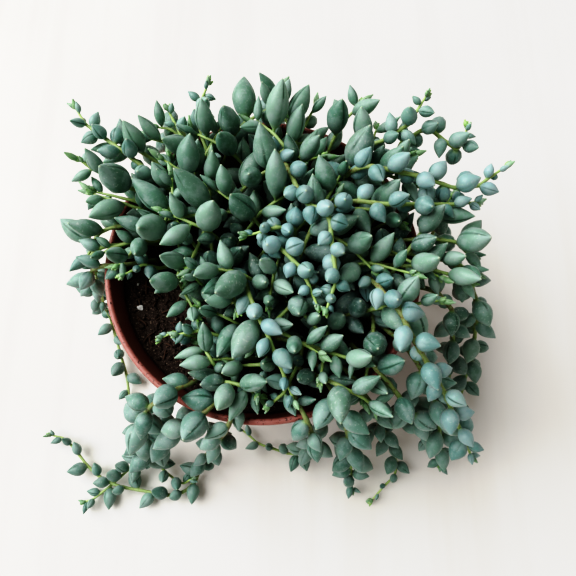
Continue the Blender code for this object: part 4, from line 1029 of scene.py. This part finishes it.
def add_pot(material):
    collar_foot = POT_HEIGHT - COLLAR_HEIGHT
    collar_radius = RIM_RADIUS - COLLAR_TAPER
    below_collar = collar_radius - COLLAR_STEP
    half_lip = LIP / 2
    inside = [
        (0.0, BASE_THICKNESS), (BASE_RADIUS - WALL - INNER_CORNER, BASE_THICKNESS),
        (BASE_RADIUS - WALL, BASE_THICKNESS + INNER_CORNER), (below_collar - WALL, collar_foot)]
    lip = [
        (RIM_RADIUS - half_lip - half_lip * math.cos(math.pi * step / LIP_STEPS),
         POT_HEIGHT - half_lip + half_lip * math.sin(math.pi * step / LIP_STEPS))
        for step in range(LIP_STEPS + 1)]
    outside = [
        (collar_radius, collar_foot + LIP_ROUND), (collar_radius - LIP_ROUND, collar_foot),
        (below_collar, collar_foot), (BASE_RADIUS, LIP_ROUND), (BASE_RADIUS - LIP_ROUND, 0.0), (0.0, 0.0)]
    pot = new_object("pot_shell", turned_mesh("pot_shell", inside + lip + outside), material)
    cut_out(pot, drain_holes())
    pot.data.set_sharp_from_angle(angle=SHARP_ANGLE)
    keep(pot, "pot", "brick_plastic")


def soil_height(x, y):
    place = Vector((x, y, 0.0))
    rough = SOIL_LUMPS * noise.fractal(place * 110, 1.0, 2.0, 4) + SOIL_GRAINS * noise.noise(place * 400)
    return SOIL_TOP + rough - SOIL_SINK


def add_soil(material, soil_radius):
    """The soil's lumpy top on a plain body that fills the pot."""
    points = [(0.0, 0.0, soil_height(0.0, 0.0))]
    for ring in range(1, SOIL_RINGS + 1):
        edge = circle((soil_radius - SOIL_INSET) * ring / SOIL_RINGS, SOIL_SIDES)
        points += [(x, y, soil_height(x, y)) for x, y in edge]
    foot = circle(BASE_RADIUS - WALL - SOIL_FOOT_INSET, SOIL_SIDES)
    points += [(x, y, BASE_THICKNESS + GAP) for x, y in foot]
    rings = np.arange(1, len(points)).reshape(-1, SOIL_SIDES).tolist()
    top = [(0, rings[0][step - 1], rings[0][step]) for step in range(SOIL_SIDES)]
    sides = ring_faces(rings)
    mesh = new_mesh("soil_fill", points, top + [face[::-1] for face in sides] + [rings[-1][::-1]])
    keep(new_object("soil_fill", mesh, material), "soil", "soil")


def lumps_mesh(name, lumps):
    """Rough little stones or crumbs, as (place, radius, squash), each a closed body."""
    draw = random.Random(STONE_SEED)
    bm = bmesh.new()
    bmesh.ops.create_icosphere(bm, subdivisions=2, radius=1.0)
    ball = [vert.co.copy() for vert in bm.verts]
    ball_faces = np.array([[vert.index for vert in face.verts] for face in bm.faces])
    bm.free()
    points, faces = [], []
    for place, radius, squash in lumps:
        offset = Vector((draw.uniform(-50, 50), draw.uniform(-50, 50), draw.uniform(-50, 50)))
        turn = Matrix.Rotation(draw.uniform(0, 6), 3, "Z") @ Matrix.Rotation(draw.uniform(-0.5, 0.5), 3, "X")
        faces += (ball_faces + len(points)).tolist()
        for vert in ball:
            bulge = radius * (1 + 0.42 * noise.noise(vert * 1.3 + offset))
            shaped = turn @ Vector((vert.x * bulge, vert.y * bulge * squash, vert.z * bulge * 0.8))
            points.append(tuple(shaped + Vector(place)))
    return new_mesh(name, points, faces, smooth=False)


def soil_place(draw, limit):
    """A random place on the soil, mostly on the bare crescent at the left front."""
    if draw.random() < 0.6:
        angle = draw.uniform(math.radians(165), math.radians(290))
        radius = limit * math.sqrt(draw.uniform(0.2, 1.0))
    else:
        angle = draw.uniform(0, 2 * math.pi)
        radius = limit * math.sqrt(draw.random())
    return radius * math.cos(angle), radius * math.sin(angle)


def fibre(draw, limit):
    """The points of a curled bit of bark on the soil."""
    x, y = soil_place(draw, limit)
    angle = draw.uniform(0, 2 * math.pi)
    length = draw.uniform(0.002, 0.007)
    curl = draw.uniform(-0.5, 0.5)
    points = []
    for step in range(FIBRE_POINTS):
        t = step / (FIBRE_POINTS - 1) - 0.5
        across = curl * 0.3 * length * (t * t * 4 - 1)
        px = x + length * t * math.cos(angle) - across * math.sin(angle)
        py = y + length * t * math.sin(angle) + across * math.cos(angle)
        points.append((px, py, soil_height(px, py) + 0.0006 + 0.0012 * draw.random() * (0.5 - abs(t))))
    return np.array(points)


def add_soil_bits(soil_look, soil_radius):
    draw = random.Random(CRUMB_SEED)
    limit = soil_radius - 0.003
    crumbs = []
    for _ in range(CRUMBS):
        x, y = soil_place(draw, limit)
        radius = 0.0004 + 0.0013 * draw.random()**3
        crumbs.append(((x, y, soil_height(x, y) + 0.2 * radius), radius, draw.uniform(0.55, 1.0)))
    lines = []
    for _ in range(FIBRES):
        points = fibre(draw, limit)
        if np.hypot(points[:, 0], points[:, 1]).max() < soil_radius - 0.001:
            radii = np.full(FIBRE_POINTS, draw.uniform(0.00015, 0.00045))
            lines.append((points, radii, np.full(FIBRE_POINTS, draw.random())))
    stones = [((x, y, soil_height(x, y) + 0.4 * size), size, 0.8) for x, y, size in PERLITE]
    bark_look = plain_material("bark_fibre", (0.028, 0.018, 0.013), (0.14, 0.088, 0.062), 300)
    perlite_look = plain_material("perlite", (0.45, 0.44, 0.42), (0.72, 0.71, 0.68), 600)
    for name, mesh, look in (
            ("soil_crumbs", lumps_mesh("soil_crumbs", crumbs), soil_look),
            ("soil_fibres", tube_mesh("soil_fibres", lines), bark_look),
            ("perlite", lumps_mesh("perlite", stones), perlite_look)):
        keep(new_object(name, mesh, look), None, "soil")


def add_plants(tangle):
    leaves, stems = dress_leaves(tangle)
    leaf_look, stem_look = leaf_material(), stem_material()
    slots = {row["node"]: row["material_slot"] for row in frame["record"]["subparts"]}
    for node in leaves:
        name = node + "_leaves"
        keep(new_object(name, leaf_mesh(name, leaves[node]), leaf_look), node, slots[node])
        name = node + "_stems"
        keep(new_object(name, tube_mesh(name, stems[node]), stem_look), node, slots[node])


# Camera, floor and light
CAMERA_PLACE = (0.011, -0.06394, 0.29994)
CAMERA_ELEVATION = math.radians(75.25)
PHOTO_SIZE = 576
FOCAL_PIXELS = 464
FLOOR_HALF = 2.0
WORLD_COLOUR = (1.0, 0.955, 0.905, 1.0)
WORLD_STRENGTH = 0.25
WINDOW_PLACE = (-1.90, 0.68, 2.3)
WINDOW_TARGET = (0.0, 0.0, 0.08)
WINDOW_SIZE = 2.9
WINDOW_POWER = 122.0
WINDOW_COLOUR = (0.965, 0.985, 1.0)
# The picture's contrast, as brightness from the scene and brightness shown
TONES = (
    (0.02, 0.003), (0.05, 0.015), (0.10, 0.064), (0.20, 0.222), (0.30, 0.385), (0.42, 0.60), (0.56, 0.80),
    (0.80, 0.91))


def add_floor():
    points = [(x * FLOOR_HALF, y * FLOOR_HALF, 0.0) for x, y in ((-1, -1), (1, -1), (1, 1), (-1, 1))]
    new_object("floor", new_mesh("floor", points, [(0, 1, 2, 3)], smooth=False), floor_material())


def add_camera():
    data = bpy.data.cameras.new("camera")
    data.sensor_width = 36.0
    data.sensor_fit = "HORIZONTAL"
    data.lens = FOCAL_PIXELS / PHOTO_SIZE * data.sensor_width
    data.clip_start = 0.01
    camera = new_object("camera", data)
    camera.location = CAMERA_PLACE
    camera.rotation_euler = (math.pi / 2 - CAMERA_ELEVATION, 0.0, 0.0)
    bpy.context.scene.camera = camera


def add_light():
    """A window's soft light, and the room's."""
    data = bpy.data.lights.new("window", "AREA")
    data.size = WINDOW_SIZE
    data.energy = WINDOW_POWER
    data.color = WINDOW_COLOUR
    light = new_object("window", data)
    light.location = WINDOW_PLACE
    light.rotation_euler = (Vector(WINDOW_TARGET) - Vector(WINDOW_PLACE)).to_track_quat("-Z", "Y").to_euler()
    world = bpy.data.worlds.new("soft_room")
    world.use_nodes = True
    background = world.node_tree.nodes["Background"]
    background.inputs["Color"].default_value = WORLD_COLOUR
    background.inputs["Strength"].default_value = WORLD_STRENGTH
    bpy.context.scene.world = world


def set_tones():
    view = bpy.context.scene.view_settings
    view.view_transform = "Standard"
    view.use_curve_mapping = True
    for light, shown in TONES:
        view.curve_mapping.curves[3].points.new(light, shown)
    view.curve_mapping.update()


def main():
    add_camera()
    add_light()
    add_floor()
    set_tones()
    tangle = Tangle(STRANDS + crown_strands())
    tangle.arrange()
    add_pot(pot_material())
    soil_look = soil_material()
    soil_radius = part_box("soil")[1].x
    add_soil(soil_look, soil_radius)
    add_soil_bits(soil_look, soil_radius)
    add_plants(tangle)


main()
